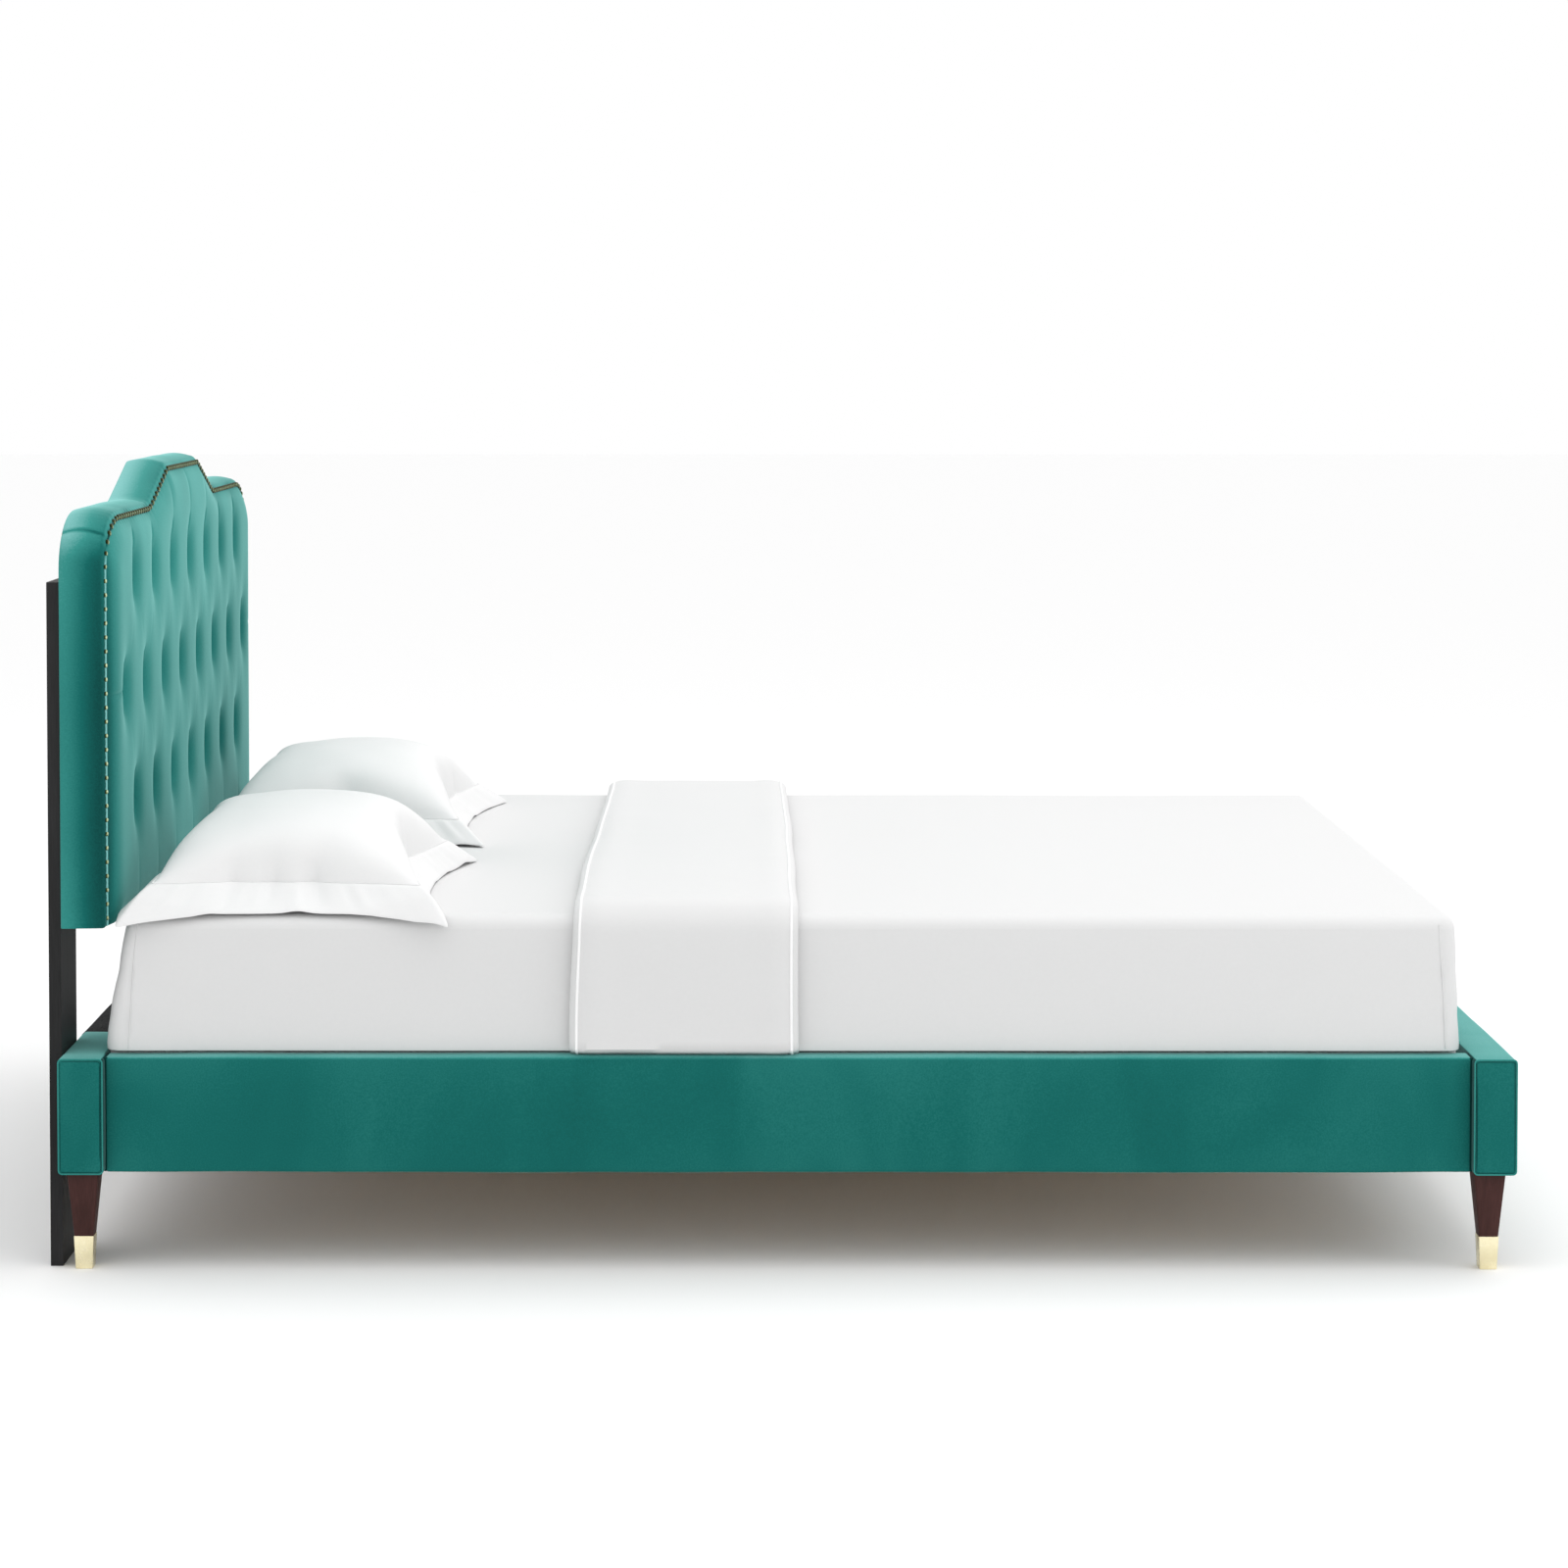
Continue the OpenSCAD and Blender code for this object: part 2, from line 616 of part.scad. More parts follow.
headboard_panel();
headboard_frame();
headboard_foam();
headboard_cover();
headboard_back_cloth();
headboard_buttons();
headboard_nails();
headboard_leg_near();
headboard_leg_far();
headboard_leg_bolts();
head_rail_core();
head_rail_cover();
head_rail_cloth();
foot_rail_core();
foot_rail_cover();
side_rail_near_core();
side_rail_near_cover();
side_rail_far_core();
side_rail_far_cover();
bracket_head_near();
bracket_head_far();
bracket_foot_near();
bracket_foot_far();
frame_bolts();
ledger_near();
ledger_far();
centre_beam();
beam_bracket_head();
beam_bracket_foot();
centre_leg_head();
centre_leg_foot();
levelling_foot_head();
levelling_foot_foot();
leg_head_near();
leg_head_far();
leg_foot_near();
leg_foot_far();
ferrule_head_near();
ferrule_head_far();
ferrule_foot_near();
ferrule_foot_far();
leg_bolts();
slat(1);  // slat_1
slat(2);  // slat_2
slat(3);  // slat_3
slat(4);  // slat_4
slat(5);  // slat_5
slat(6);  // slat_6
slat(7);  // slat_7
slat(8);  // slat_8
slat(9);  // slat_9
slat(10);  // slat_10
slat(11);  // slat_11
slat(12);  // slat_12
slat_straps();
slat_screws();
mattress();
pillow_near();
pillow_far();
blanket();
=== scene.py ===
"""Upholstered platform bed: its sewn, padded and finished pieces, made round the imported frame.

The file is laid out as an add-on. One operator makes each piece or group of like pieces, and
main() calls them in order. Lengths are metres: +X runs from head to foot and +Z is up.
"""

import math

import bmesh
import bpy
import numpy as np
from bmesh.types import BMEdge, BMFace, BMVert
from mathutils import Matrix, Vector, noise


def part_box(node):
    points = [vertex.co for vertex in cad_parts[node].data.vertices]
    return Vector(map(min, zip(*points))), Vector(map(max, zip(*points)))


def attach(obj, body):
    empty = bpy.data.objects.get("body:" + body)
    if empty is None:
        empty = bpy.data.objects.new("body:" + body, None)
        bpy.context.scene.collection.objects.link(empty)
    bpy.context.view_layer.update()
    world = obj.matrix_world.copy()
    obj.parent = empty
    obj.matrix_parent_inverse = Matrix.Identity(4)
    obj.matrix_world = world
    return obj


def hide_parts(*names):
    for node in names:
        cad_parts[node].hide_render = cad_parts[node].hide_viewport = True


bl_info = {
    "name": "Upholstered Platform Bed",
    "version": (1, 0, 0),
    "blender": (4, 5, 0),
    "location": "View3D > Sidebar > Bed",
    "description": "Makes the soft and finished pieces of a tufted platform bed",
    "category": "Object",
}

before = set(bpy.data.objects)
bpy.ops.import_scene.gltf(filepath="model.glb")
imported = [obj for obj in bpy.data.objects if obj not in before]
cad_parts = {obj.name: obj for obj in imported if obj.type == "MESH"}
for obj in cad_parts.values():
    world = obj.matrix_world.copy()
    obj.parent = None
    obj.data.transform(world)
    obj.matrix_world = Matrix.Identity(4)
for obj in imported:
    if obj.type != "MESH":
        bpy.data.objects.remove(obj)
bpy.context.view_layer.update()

BED = "bed_frame"
MM = 0.001

COVER_LOW, COVER_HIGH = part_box("headboard_cover")
LINING_LOW, LINING_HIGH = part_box("headboard_back_cloth")
NAIL_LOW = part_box("headboard_nails")[0]
BUTTON_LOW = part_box("headboard_buttons")[0]
MATTRESS_LOW, MATTRESS_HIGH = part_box("mattress")
SIDE_RAILS = ("side_rail_near_cover", "side_rail_far_cover")
RAIL_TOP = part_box(SIDE_RAILS[0])[1].z
RAIL_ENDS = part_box("head_rail_cover")[0].x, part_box("foot_rail_cover")[1].x
CORNERS = ("head_near", "head_far", "foot_near", "foot_far")

# How far the folds run above and below the buttons, from the top row down.
FOLD_REACHES = ((0.075, 0.022), (0.056, 0.030), (0.054, 0.032))
# Steps round the headboard's front edge, and the part of its roundness that every place keeps.
EDGE_STEPS = 5
ROUND_SHARE = 0.35
# Cell size of the rails' velvet, and how uneven it is.
RAIL_STEP = 0.045
RAIL_WOBBLE = 0.0009
# Painted shade for velvet that lies in the dark of a joint.
SHADED = -1.2
# Length of the filling, its share of a pillow's height, and how far the peak is off centre.
FILL_FRAMES = 19
FILL_SHARE = 0.15
PILLOW_PEAK = 0.04
# Width of the cloth between a pillow's body and the flange's tip, over both sides.
FLANGE_ROOM = 0.075
# How far the bedding swells over the rails, and the strip of it that does.
SIDE_SWELL = 0.026
SWELL_REACH = 0.1
BLANKET_THICK = 0.0272
BLANKET_TURN = 0.036


# ---------------------------------------------------------------- settings


class VelvetSettings(bpy.types.PropertyGroup):
    """Colours of the velvet for its random tone and its painted light and shade, and the sheen
    of its pile.
    """

    # Deep to pale run from painted shade to painted highlight; the velvet's random tone moves
    # along them too.
    deep: bpy.props.FloatVectorProperty(
        name="Deep", description="Colour of the pile brushed away from the light",
        subtype="COLOR", default=(0.0012, 0.036, 0.033))
    middle: bpy.props.FloatVectorProperty(
        name="Middle", description="Colour of the upright pile",
        subtype="COLOR", default=(0.0058, 0.125, 0.112))
    lit: bpy.props.FloatVectorProperty(
        name="Lit", description="Colour of the pile brushed towards the light",
        subtype="COLOR", default=(0.036, 0.258, 0.230))
    pale: bpy.props.FloatVectorProperty(
        name="Pale", description="Colour of the pile that is lit along its length",
        subtype="COLOR", default=(0.205, 0.500, 0.480))
    sheen: bpy.props.FloatProperty(
        name="Sheen", description="Strength of the pile's bright edge", default=0.6,
        min=0, max=1, subtype="FACTOR")


class HeadboardSettings(bpy.types.PropertyGroup):
    """Shape of the headboard's padding."""

    edge: bpy.props.FloatProperty(
        name="Edge", description="Radius of the headboard's front edge",
        default=0.015, unit="LENGTH")
    rise: bpy.props.FloatProperty(
        name="Rise", description="How far the tufted pad swells in front of its border",
        default=0.0150, unit="LENGTH")
    rise_width: bpy.props.FloatProperty(
        name="Rise width", description="Distance over which the pad swells from the border",
        default=0.026, unit="LENGTH")
    crown: bpy.props.FloatProperty(
        name="Crown", description="Bulge of the top and the sides", default=0.004,
        unit="LENGTH")
    fold_depth: bpy.props.FloatProperty(
        name="Fold depth", description="Depth of the upright folds at the buttons",
        default=0.0125, unit="LENGTH")
    pleat_depth: bpy.props.FloatProperty(
        name="Pleat depth", description="Depth of the slanting pleats between buttons",
        default=0.0022, unit="LENGTH")


class BeddingSettings(bpy.types.PropertyGroup):
    """Sizes of the pillows and the blanket."""

    pressure: bpy.props.FloatProperty(
        name="Pressure", description="How hard a pillow is filled", default=2.6, min=0)
    quilt: bpy.props.FloatProperty(
        name="Blanket unevenness", description="How lumpy the folded blanket is",
        default=0.0022, unit="LENGTH")


class StageSettings(bpy.types.PropertyGroup):
    """Camera, lamps and floor."""

    lens: bpy.props.FloatProperty(
        name="Lens", description="Focal length of the camera in millimetres", default=86.57)
    eye: bpy.props.FloatVectorProperty(
        name="Eye", description="Place of the camera", subtype="TRANSLATION",
        default=(-0.057, -6.3862, 1.3833))
    pitch: bpy.props.FloatProperty(
        name="Pitch", description="How far the camera looks down",
        subtype="ANGLE", default=math.radians(2.187))
    shift: bpy.props.FloatVectorProperty(
        name="Shift", description="Shift of the camera's film across and up, in its widths",
        size=2, default=(0.0314, -0.19))
    yaw: bpy.props.FloatProperty(
        name="Yaw", description="How far the camera turns towards the head",
        subtype="ANGLE", default=math.radians(0.12))


# ---------------------------------------------------------------- meshes


def linked(name, data):
    """An object in the scene that holds a mesh, a lamp or a camera."""
    obj = bpy.data.objects.new(name, data)
    bpy.context.scene.collection.objects.link(obj)
    return obj


def mesh_of(name, bm):
    """A mesh made of a bmesh, which is freed."""
    mesh = bpy.data.meshes.new(name)
    bm.to_mesh(mesh)
    bm.free()
    return mesh


def only(kind, parts):
    """The vertices, edges or faces among the parts that an operator made."""
    return [part for part in parts if isinstance(part, kind)]


def face_out(bm):
    """Turns every face outwards."""
    bmesh.ops.recalc_face_normals(bm, faces=bm.faces)


def cut(bm, point, normal):
    """Cuts a mesh along a plane."""
    bmesh.ops.bisect_plane(
        bm, geom=bm.verts[:] + bm.edges[:] + bm.faces[:], plane_co=point, plane_no=normal)


def round_edges(bm, verts, radius, segments):
    """Rounds every edge of a box."""
    edges = list({e for v in verts for e in v.link_edges})
    bmesh.ops.bevel(
        bm, geom=edges, offset=radius, segments=segments, profile=0.5, affect="EDGES",
        material=-1)


def skin(bm, rings, closed=False):
    """Joins each ring of vertices to the next one with faces."""
    for a, b in zip(rings, rings[1:] + (rings[:1] if closed else [])):
        for k in range(len(a)):
            j = (k + 1) % len(a)
            bm.faces.new((a[k], a[j], b[j], b[k]))


def piece(name, bm, finish, body, replaces=(), sharp=40, pile=None):
    """Makes an object of a bmesh, with its finish, its body and the nodes that it stands for.

    pile gives the painted light and shade laid on velvet at a place with a given normal.
    """
    if pile:
        bm.normal_update()
        # The pile attribute holds painted light and shade for the velvet.
        layer = bm.verts.layers.float.new("pile")
        for v in bm.verts:
            v[layer] = pile(v.co, v.normal)
    mesh = mesh_of(name, bm)
    mesh.materials.append(finish)
    mesh.shade_smooth()
    mesh.set_sharp_from_angle(angle=math.radians(sharp))
    obj = linked(name, mesh)
    if replaces:
        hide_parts(*replaces)
    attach(obj, body)
    return obj


def slice_box(bm, low, high, step):
    """Cuts a mesh into cells no longer than step along each axis."""
    for axis in range(3):
        count = int((high[axis] - low[axis]) / step)
        for k in range(1, count + 1):
            point = Vector((0, 0, 0))
            point[axis] = low[axis] + (high[axis] - low[axis]) * k / (count + 1)
            normal = Vector((0, 0, 0))
            normal[axis] = 1
            cut(bm, point, normal)


def block(bm, low, high, radius, segments=4):
    """Adds a box between two corners with rounded edges."""
    size = Vector(high) - Vector(low)
    middle = (Vector(high) + Vector(low)) / 2
    made = bmesh.ops.create_cube(
        bm, size=1, matrix=Matrix.LocRotScale(middle, None, size))["verts"]
    round_edges(bm, made, radius, segments)


def soft_block(low, high, radius, step, crown, wobble, scale=7.0):
    """Upholstered box: rounded edges, faces that swell by crown and a slight unevenness."""
    bm = bmesh.new()
    block(bm, low, high, radius)
    slice_box(bm, low, high, step)
    half = (Vector(high) - Vector(low)) / 2
    middle = (Vector(high) + Vector(low)) / 2
    bm.normal_update()
    for v in bm.verts:
        place = [(v.co[a] - middle[a]) / half[a] for a in range(3)]
        push = Vector((0, 0, 0))
        for a in range(3):
            if abs(place[a]) > 0.9999:
                b, c = (a + 1) % 3, (a + 2) % 3
                swell = (1 - place[b] ** 4) * (1 - place[c] ** 4)
                push[a] = math.copysign(crown * swell, place[a])
        v.co += push + v.normal * wobble * noise.noise(v.co * scale)
    return bm


def sweep(bm, path, radius, sides=6, closed=False, up=Vector((0, 0, 1))):
    """Adds a round cord along a path of points."""
    path = [Vector(p) for p in path]
    count = len(path)
    rings = []
    for i, point in enumerate(path):
        before = path[i - 1] if i or closed else path[i]
        after = path[(i + 1) % count] if i < count - 1 or closed else path[i]
        along = (after - before).normalized()
        side = along.cross(up if abs(along.dot(up)) < 0.95 else Vector((0, 1, 0))).normalized()
        turn = Matrix((side, along.cross(side), along)).transposed().to_4x4()
        rings.append(bmesh.ops.create_circle(
            bm, segments=sides, radius=radius,
            matrix=Matrix.Translation(point) @ turn)["verts"])
    skin(bm, rings, closed)
    if not closed:
        bm.faces.new(reversed(rings[0]))
        bm.faces.new(rings[-1])


def ease(value, low, high):
    """0 below low, 1 above high and a smooth step between them."""
    t = min(1.0, max(0.0, (value - low) / (high - low)))
    return t * t * (3 - 2 * t)


def subdivided(bm):
    """The mesh with each face split in four and smoothed."""
    mesh = mesh_of("coarse", bm)
    obj = linked("coarse", mesh)
    obj.modifiers.new("split", "SUBSURF").levels = 1
    fine = bmesh.new()
    fine.from_object(obj, bpy.context.evaluated_depsgraph_get())
    bpy.data.objects.remove(obj)
    bpy.data.meshes.remove(mesh)
    return fine


def node_mesh(node):
    """A welded copy of a CAD node's mesh."""
    bm = bmesh.new()
    bm.from_mesh(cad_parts[node].data)
    bmesh.ops.remove_doubles(bm, verts=bm.verts, dist=1e-5)
    return bm


def island_centres(node):
    """Middles of a CAD node's separate solids."""
    bm = node_mesh(node)
    centres, seen = [], set()
    for start in bm.verts:
        if start in seen:
            continue
        island, queue = [], [start]
        seen.add(start)
        while queue:
            v = queue.pop()
            island.append(v.co.copy())
            for e in v.link_edges:
                other = e.other_vert(v)
                if other not in seen:
                    seen.add(other)
                    queue.append(other)
        low = Vector(map(min, *island))
        high = Vector(map(max, *island))
        centres.append((low + high) / 2)
    bm.free()
    return centres


def width_at(node, z):
    """Width along X of a CAD node at height z."""
    xs = [v.co.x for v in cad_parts[node].data.vertices if abs(v.co.z - z) < MM / 2]
    return max(xs) - min(xs)


# ---------------------------------------------------------------- finishes


class Nodes:
    """A material's node tree, with short ways to add and join nodes."""

    def __init__(self, name):
        self.material = bpy.data.materials.new(name)
        self.material.use_nodes = True
        self.tree = self.material.node_tree
        self.tree.nodes.clear()
        self.out = self.add("ShaderNodeOutputMaterial")
        self.shader = self.add("ShaderNodeBsdfPrincipled")
        self.join(self.shader.outputs["BSDF"], self.out.inputs["Surface"])
        self.where = self.add("ShaderNodeTexCoord").outputs["Object"]

    def add(self, kind, **values):
        node = self.tree.nodes.new(kind)
        for key, value in values.items():
            setattr(node, key, value)
        return node

    def join(self, source, target):
        self.tree.links.new(source, target)

    def mapped(self, scale):
        node = self.add("ShaderNodeMapping")
        node.inputs["Scale"].default_value = scale
        self.join(self.where, node.inputs["Vector"])
        return node.outputs["Vector"]

    def noise(self, scale, detail=3.0, rough=0.5, vector=None, distortion=0.0):
        node = self.add("ShaderNodeTexNoise")
        node.inputs["Scale"].default_value = scale
        node.inputs["Detail"].default_value = detail
        node.inputs["Roughness"].default_value = rough
        node.inputs["Distortion"].default_value = distortion
        self.join(vector or self.where, node.inputs["Vector"])
        return node.outputs["Fac"]

    def wave(self, scale, direction, distortion):
        node = self.add("ShaderNodeTexWave", bands_direction=direction)
        node.inputs["Scale"].default_value = scale
        node.inputs["Distortion"].default_value = distortion
        node.inputs["Detail"].default_value = 1.0
        self.join(self.where, node.inputs["Vector"])
        return node.outputs["Fac"]

    def cells(self, scale, randomness=1.0):
        node = self.add("ShaderNodeTexVoronoi", feature="F1")
        node.inputs["Scale"].default_value = scale
        node.inputs["Randomness"].default_value = randomness
        self.join(self.where, node.inputs["Vector"])
        return node.outputs["Distance"]

    def ramp(self, source, stops):
        node = self.add("ShaderNodeValToRGB")
        elements = node.color_ramp.elements
        for k, (at, colour) in enumerate(stops):
            element = elements[k] if k < len(elements) else elements.new(at)
            element.position = at
            element.color = (*colour, 1)
        self.join(source, node.inputs["Fac"])
        return node.outputs["Color"]

    def span(self, source, low, high, start=0.0, end=1.0):
        node = self.add("ShaderNodeMapRange")
        for key, value in zip(("From Min", "From Max", "To Min", "To Max"),
                              (start, end, low, high)):
            node.inputs[key].default_value = value
        self.join(source, node.inputs["Value"])
        return node.outputs["Result"]

    def combine(self, a, b, kind="ADD", clamp=False):
        node = self.add("ShaderNodeMath", operation=kind, use_clamp=clamp)
        for socket, value in zip(node.inputs, (a, b)):
            if isinstance(value, (int, float)):
                socket.default_value = value
            else:
                self.join(value, socket)
        return node.outputs["Value"]

    def bump(self, height, depth, strength=1.0, under=None):
        node = self.add("ShaderNodeBump")
        node.inputs["Strength"].default_value = strength
        node.inputs["Distance"].default_value = depth
        self.join(height, node.inputs["Height"])
        if under is not None:
            self.join(under, node.inputs["Normal"])
        self.join(node.outputs["Normal"], self.shader.inputs["Normal"])
        return node.outputs["Normal"]

    def paint(self, colour):
        self.join(colour, self.shader.inputs["Base Color"])

    def roughen(self, source):
        self.join(source, self.shader.inputs["Roughness"])

    def set(self, **values):
        for key, value in values.items():
            self.shader.inputs[key.replace("_", " ")].default_value = value


def velvet(name, shine=1.0):
    """Short teal pile with patches that differ at random, painted light and shade from the pile
    attribute, a bright edge scaled by shine and a fine nap.
    """
    look = bpy.context.scene.bed_velvet
    n = Nodes(name)
    n.set(Roughness=0.85, Sheen_Weight=look.sheen * shine, Sheen_Roughness=0.30,
          Sheen_Tint=(0.50, 1.0, 0.95, 1), Specular_IOR_Level=0.08)
    patches = n.noise(4.5, 3.0, 0.55, n.mapped((1.0, 1.0, 0.55)), 0.6)
    nap = n.noise(420.0, 2.0, 0.6)
    # Painted light and shade from the pile attribute, added to the random tone.
    painted_light = n.add("ShaderNodeAttribute", attribute_name="pile").outputs["Fac"]
    tone = n.combine(n.span(patches, 0.26, 0.36, 0.32, 0.68),
                     n.span(nap, -0.02, 0.06, 0.3, 0.7))
    tone = n.combine(tone, n.combine(painted_light, 0.65, "MULTIPLY"), clamp=True)
    n.paint(n.ramp(tone, ((0.0, tuple(look.deep)), (0.33, tuple(look.middle)),
                          (0.66, tuple(look.lit)), (1.0, tuple(look.pale)))))
    n.bump(nap, 0.0003, 0.25)
    return n.material


def painted_top_light(normal):
    """Painted light on a plain velvet piece: palest on top, painted shade underneath."""
    return 0.62 * ease(normal.z, 0.25, 0.95) - 0.12 * ease(-normal.z, 0.3, 0.9)


def linen(name, colour, side=1.0):
    """Cotton with a plain weave, with painted shade that greys it by the factor side where it
    hangs upright.
    """
    n = Nodes(name)
    n.set(Sheen_Weight=0.12, Sheen_Roughness=0.6, Specular_IOR_Level=0.2)
    slub = n.noise(160.0, 3.0, 0.6, n.mapped((1.0, 5.0, 1.0)))
    warp, weft, rise = (n.wave(1100.0, axis, 0.6) for axis in "XYZ")
    weave = n.combine(n.combine(warp, weft), rise)
    shade = tuple(c * 0.985 for c in colour)
    # Painted shade: faces that do not look up are greyed by the factor side.
    facing = n.add("ShaderNodeSeparateXYZ")
    n.join(n.add("ShaderNodeTexCoord").outputs["Normal"], facing.inputs["Vector"])
    tone_with_painted_shade = n.add("ShaderNodeVectorMath", operation="SCALE")
    n.join(n.ramp(slub, ((0.3, shade), (0.7, colour))), tone_with_painted_shade.inputs["Vector"])
    n.join(n.span(facing.outputs["Z"], side, 1.0, 0.1, 0.9), tone_with_painted_shade.inputs["Scale"])
    n.paint(tone_with_painted_shade.outputs["Vector"])
    n.roughen(n.span(slub, 0.82, 0.92))
    n.bump(weave, 0.00010, 0.2, n.bump(slub, 0.0002, 0.10))
    return n.material


def lining(name):
    """Black spun-bonded lining with its pressed dots."""
    n = Nodes(name)
    fibres = n.noise(240.0, 4.0, 0.7, n.mapped((1.0, 0.35, 1.0)), 1.2)
    n.paint(n.ramp(fibres, ((0.3, (0.018, 0.018, 0.019)), (0.75, (0.062, 0.062, 0.064)))))
    n.set(Specular_IOR_Level=0.05)
    n.roughen(n.span(fibres, 0.85, 1.0))
    n.bump(n.cells(420.0, 0.25), 0.0003, 0.5, n.bump(fibres, 0.0004, 0.5))
    return n.material


def wood(name, dark, light, along, gloss=0.6, fine=1.0, shine=0.4):
    """Sawn or stained timber with its grain along one axis."""
    n = Nodes(name)
    n.set(Specular_IOR_Level=shine)
    stretch = {"X": (0.06, 1.0, 1.0), "Y": (1.0, 0.06, 1.0), "Z": (1.0, 1.0, 0.06)}[along]
    vector = n.mapped(stretch)
    rings = n.noise(26.0 * fine, 5.0, 0.62, vector, 1.6)
    pores = n.noise(340.0 * fine, 2.0, 0.5, vector, 0.2)
    tone = n.combine(n.span(rings, 0.0, 0.85, 0.3, 0.72), n.span(pores, -0.15, 0.2, 0.3, 0.7),
                     clamp=True)
    n.paint(n.ramp(tone, ((0.0, dark), (1.0, light))))
    n.roughen(n.span(rings, gloss - 0.08, gloss + 0.1))
    n.bump(pores, 0.00035, 0.5, n.bump(rings, 0.0006, 0.25))
    return n.material


def foam(name):
    """Open-celled cream foam."""
    n = Nodes(name)
    n.set(Roughness=0.95)
    tone = n.noise(9.0, 3.0)
    n.paint(n.ramp(tone, ((0.3, (0.62, 0.52, 0.28)), (0.7, (0.74, 0.66, 0.40)))))
    n.bump(n.cells(700.0), 0.0008, 0.8)
    return n.material


def metal(name, dark, light, rough, grain=70.0, depth=0.0003, strength=0.15):
    """Metal with slight tarnish and a grained surface."""
    n = Nodes(name)
    n.set(Metallic=1.0)
    tarnish = n.noise(grain, 4.0, 0.6)
    n.paint(n.ramp(tarnish, ((0.35, dark), (0.65, light))))
    n.roughen(n.span(tarnish, rough - 0.06, rough + 0.12))
    n.bump(n.noise(grain * 9, 2.0), depth, strength)
    return n.material


def nail_metal(name):
    """Antique brass: bright on the dome and dark round its foot, with painted shade on the nails
    along the top.
    """
    n = Nodes(name)
    n.set(Metallic=1.0, Roughness=0.28)
    place = n.add("ShaderNodeSeparateXYZ")
    n.join(n.where, place.inputs["Vector"])
    tone_with_painted_shade = n.combine(n.span(place.outputs["X"], 0.0, 1.0, NAIL_LOW.x, NAIL_LOW.x + 0.0022),
                     n.span(n.noise(420.0, 2.0), -0.2, 0.2, 0.3, 0.7))
    # Painted shade: nails high on the headboard are darkened, most along the top.
    tone_with_painted_shade = n.combine(tone_with_painted_shade, n.span(place.outputs["Z"], 0.35, -0.45, 1.03, 1.10), clamp=True)
    n.paint(n.ramp(tone_with_painted_shade, ((0.15, (0.030, 0.036, 0.014)), (0.55, (0.19, 0.23, 0.10)),
                          (0.95, (0.66, 0.76, 0.50)))))
    return n.material


def plastic(name):
    """Moulded black plastic with a fine spark finish."""
    n = Nodes(name)
    n.set(Specular_IOR_Level=0.4)
    spark = n.noise(1600.0, 2.0)
    n.paint(n.ramp(spark, ((0.3, (0.012, 0.012, 0.013)), (0.7, (0.03, 0.03, 0.032)))))
    n.roughen(n.span(spark, 0.45, 0.6))
    n.bump(spark, 0.0002, 0.3)
    return n.material


def webbing(name):
    """White polypropylene tape, woven across."""
    n = Nodes(name)
    n.set(Roughness=0.7)
    ribs = n.wave(330.0, "X", 0.3)
    cross = n.wave(260.0, "Y", 0.3)
    n.paint(n.ramp(ribs, ((0.2, (0.55, 0.55, 0.52)), (0.8, (0.75, 0.75, 0.72)))))
    n.bump(n.combine(ribs, cross), 0.0005, 0.6)
    return n.material


FINISHES = {}


def finish(name, maker=None, *values):
    """The material of that name, made once."""
    if name not in FINISHES:
        FINISHES[name] = maker(name, *values)
    return FINISHES[name]


WHITE = (0.75, 0.75, 0.75)
# SHAM and PIPING are the sheet's white made lighter: painted light on the pillows' shaded slopes
# and a painted highlight on the piping.
SHAM = (0.84, 0.84, 0.84)
PIPING = (0.90, 0.90, 0.90)
PINE = ((0.42, 0.27, 0.13), (0.66, 0.47, 0.27))
# The frame's nodes by finish, with the finish's maker and its values.
NODE_FINISHES = {
    "plywood": (("headboard_panel",), wood,
                ((0.40, 0.26, 0.14), (0.62, 0.45, 0.27), "Y", 0.65, 0.7)),
    "pine_across": (("headboard_frame", "head_rail_core", "foot_rail_core"), wood,
                    (*PINE, "Y")),
    "pine_along": (("side_rail_near_core", "side_rail_far_core", "ledger_near", "ledger_far",
                    "centre_beam"), wood, (*PINE, "X")),
    "pine_upright": (("centre_leg_head", "centre_leg_foot"), wood, (*PINE, "Z")),
    "slat_wood": (tuple(f"slat_{i}" for i in range(1, 13)), wood,
                  ((0.50, 0.35, 0.19), (0.72, 0.55, 0.34), "Y", 0.6, 1.4)),
    "black_wood": (("headboard_leg_near", "headboard_leg_far"), wood,
                   ((0.007, 0.007, 0.007), (0.021, 0.021, 0.022), "Z", 0.55, 1.2, 0.22)),
    "steel": (("headboard_leg_bolts", "frame_bolts", "leg_bolts", "slat_screws",
               "bracket_head_near", "bracket_head_far", "bracket_foot_near",
               "bracket_foot_far", "beam_bracket_head", "beam_bracket_foot"), metal,
              ((0.38, 0.38, 0.39), (0.56, 0.56, 0.57), 0.36)),
    "black_plastic": (("levelling_foot_head", "levelling_foot_foot"), plastic, ()),
    "webbing": (("slat_straps",), webbing, ()),
}


# ---------------------------------------------------------------- headboard


def outline_points():
    """The headboard's outline as (y, z), anticlockwise from its lower far corner."""
    points = {(round(v.co.y, 5), round(v.co.z, 5))
              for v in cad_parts["headboard_back_cloth"].data.vertices}
    low = LINING_LOW.z
    upper = sorted((p for p in points if p[1] > low + 0.1), reverse=True)
    far = [p for p in points if p[0] > 0 and p[1] < low + 0.1]
    near = [p for p in points if p[0] < 0 and p[1] < low + 0.1]
    return np.array([*far, *upper, *near])


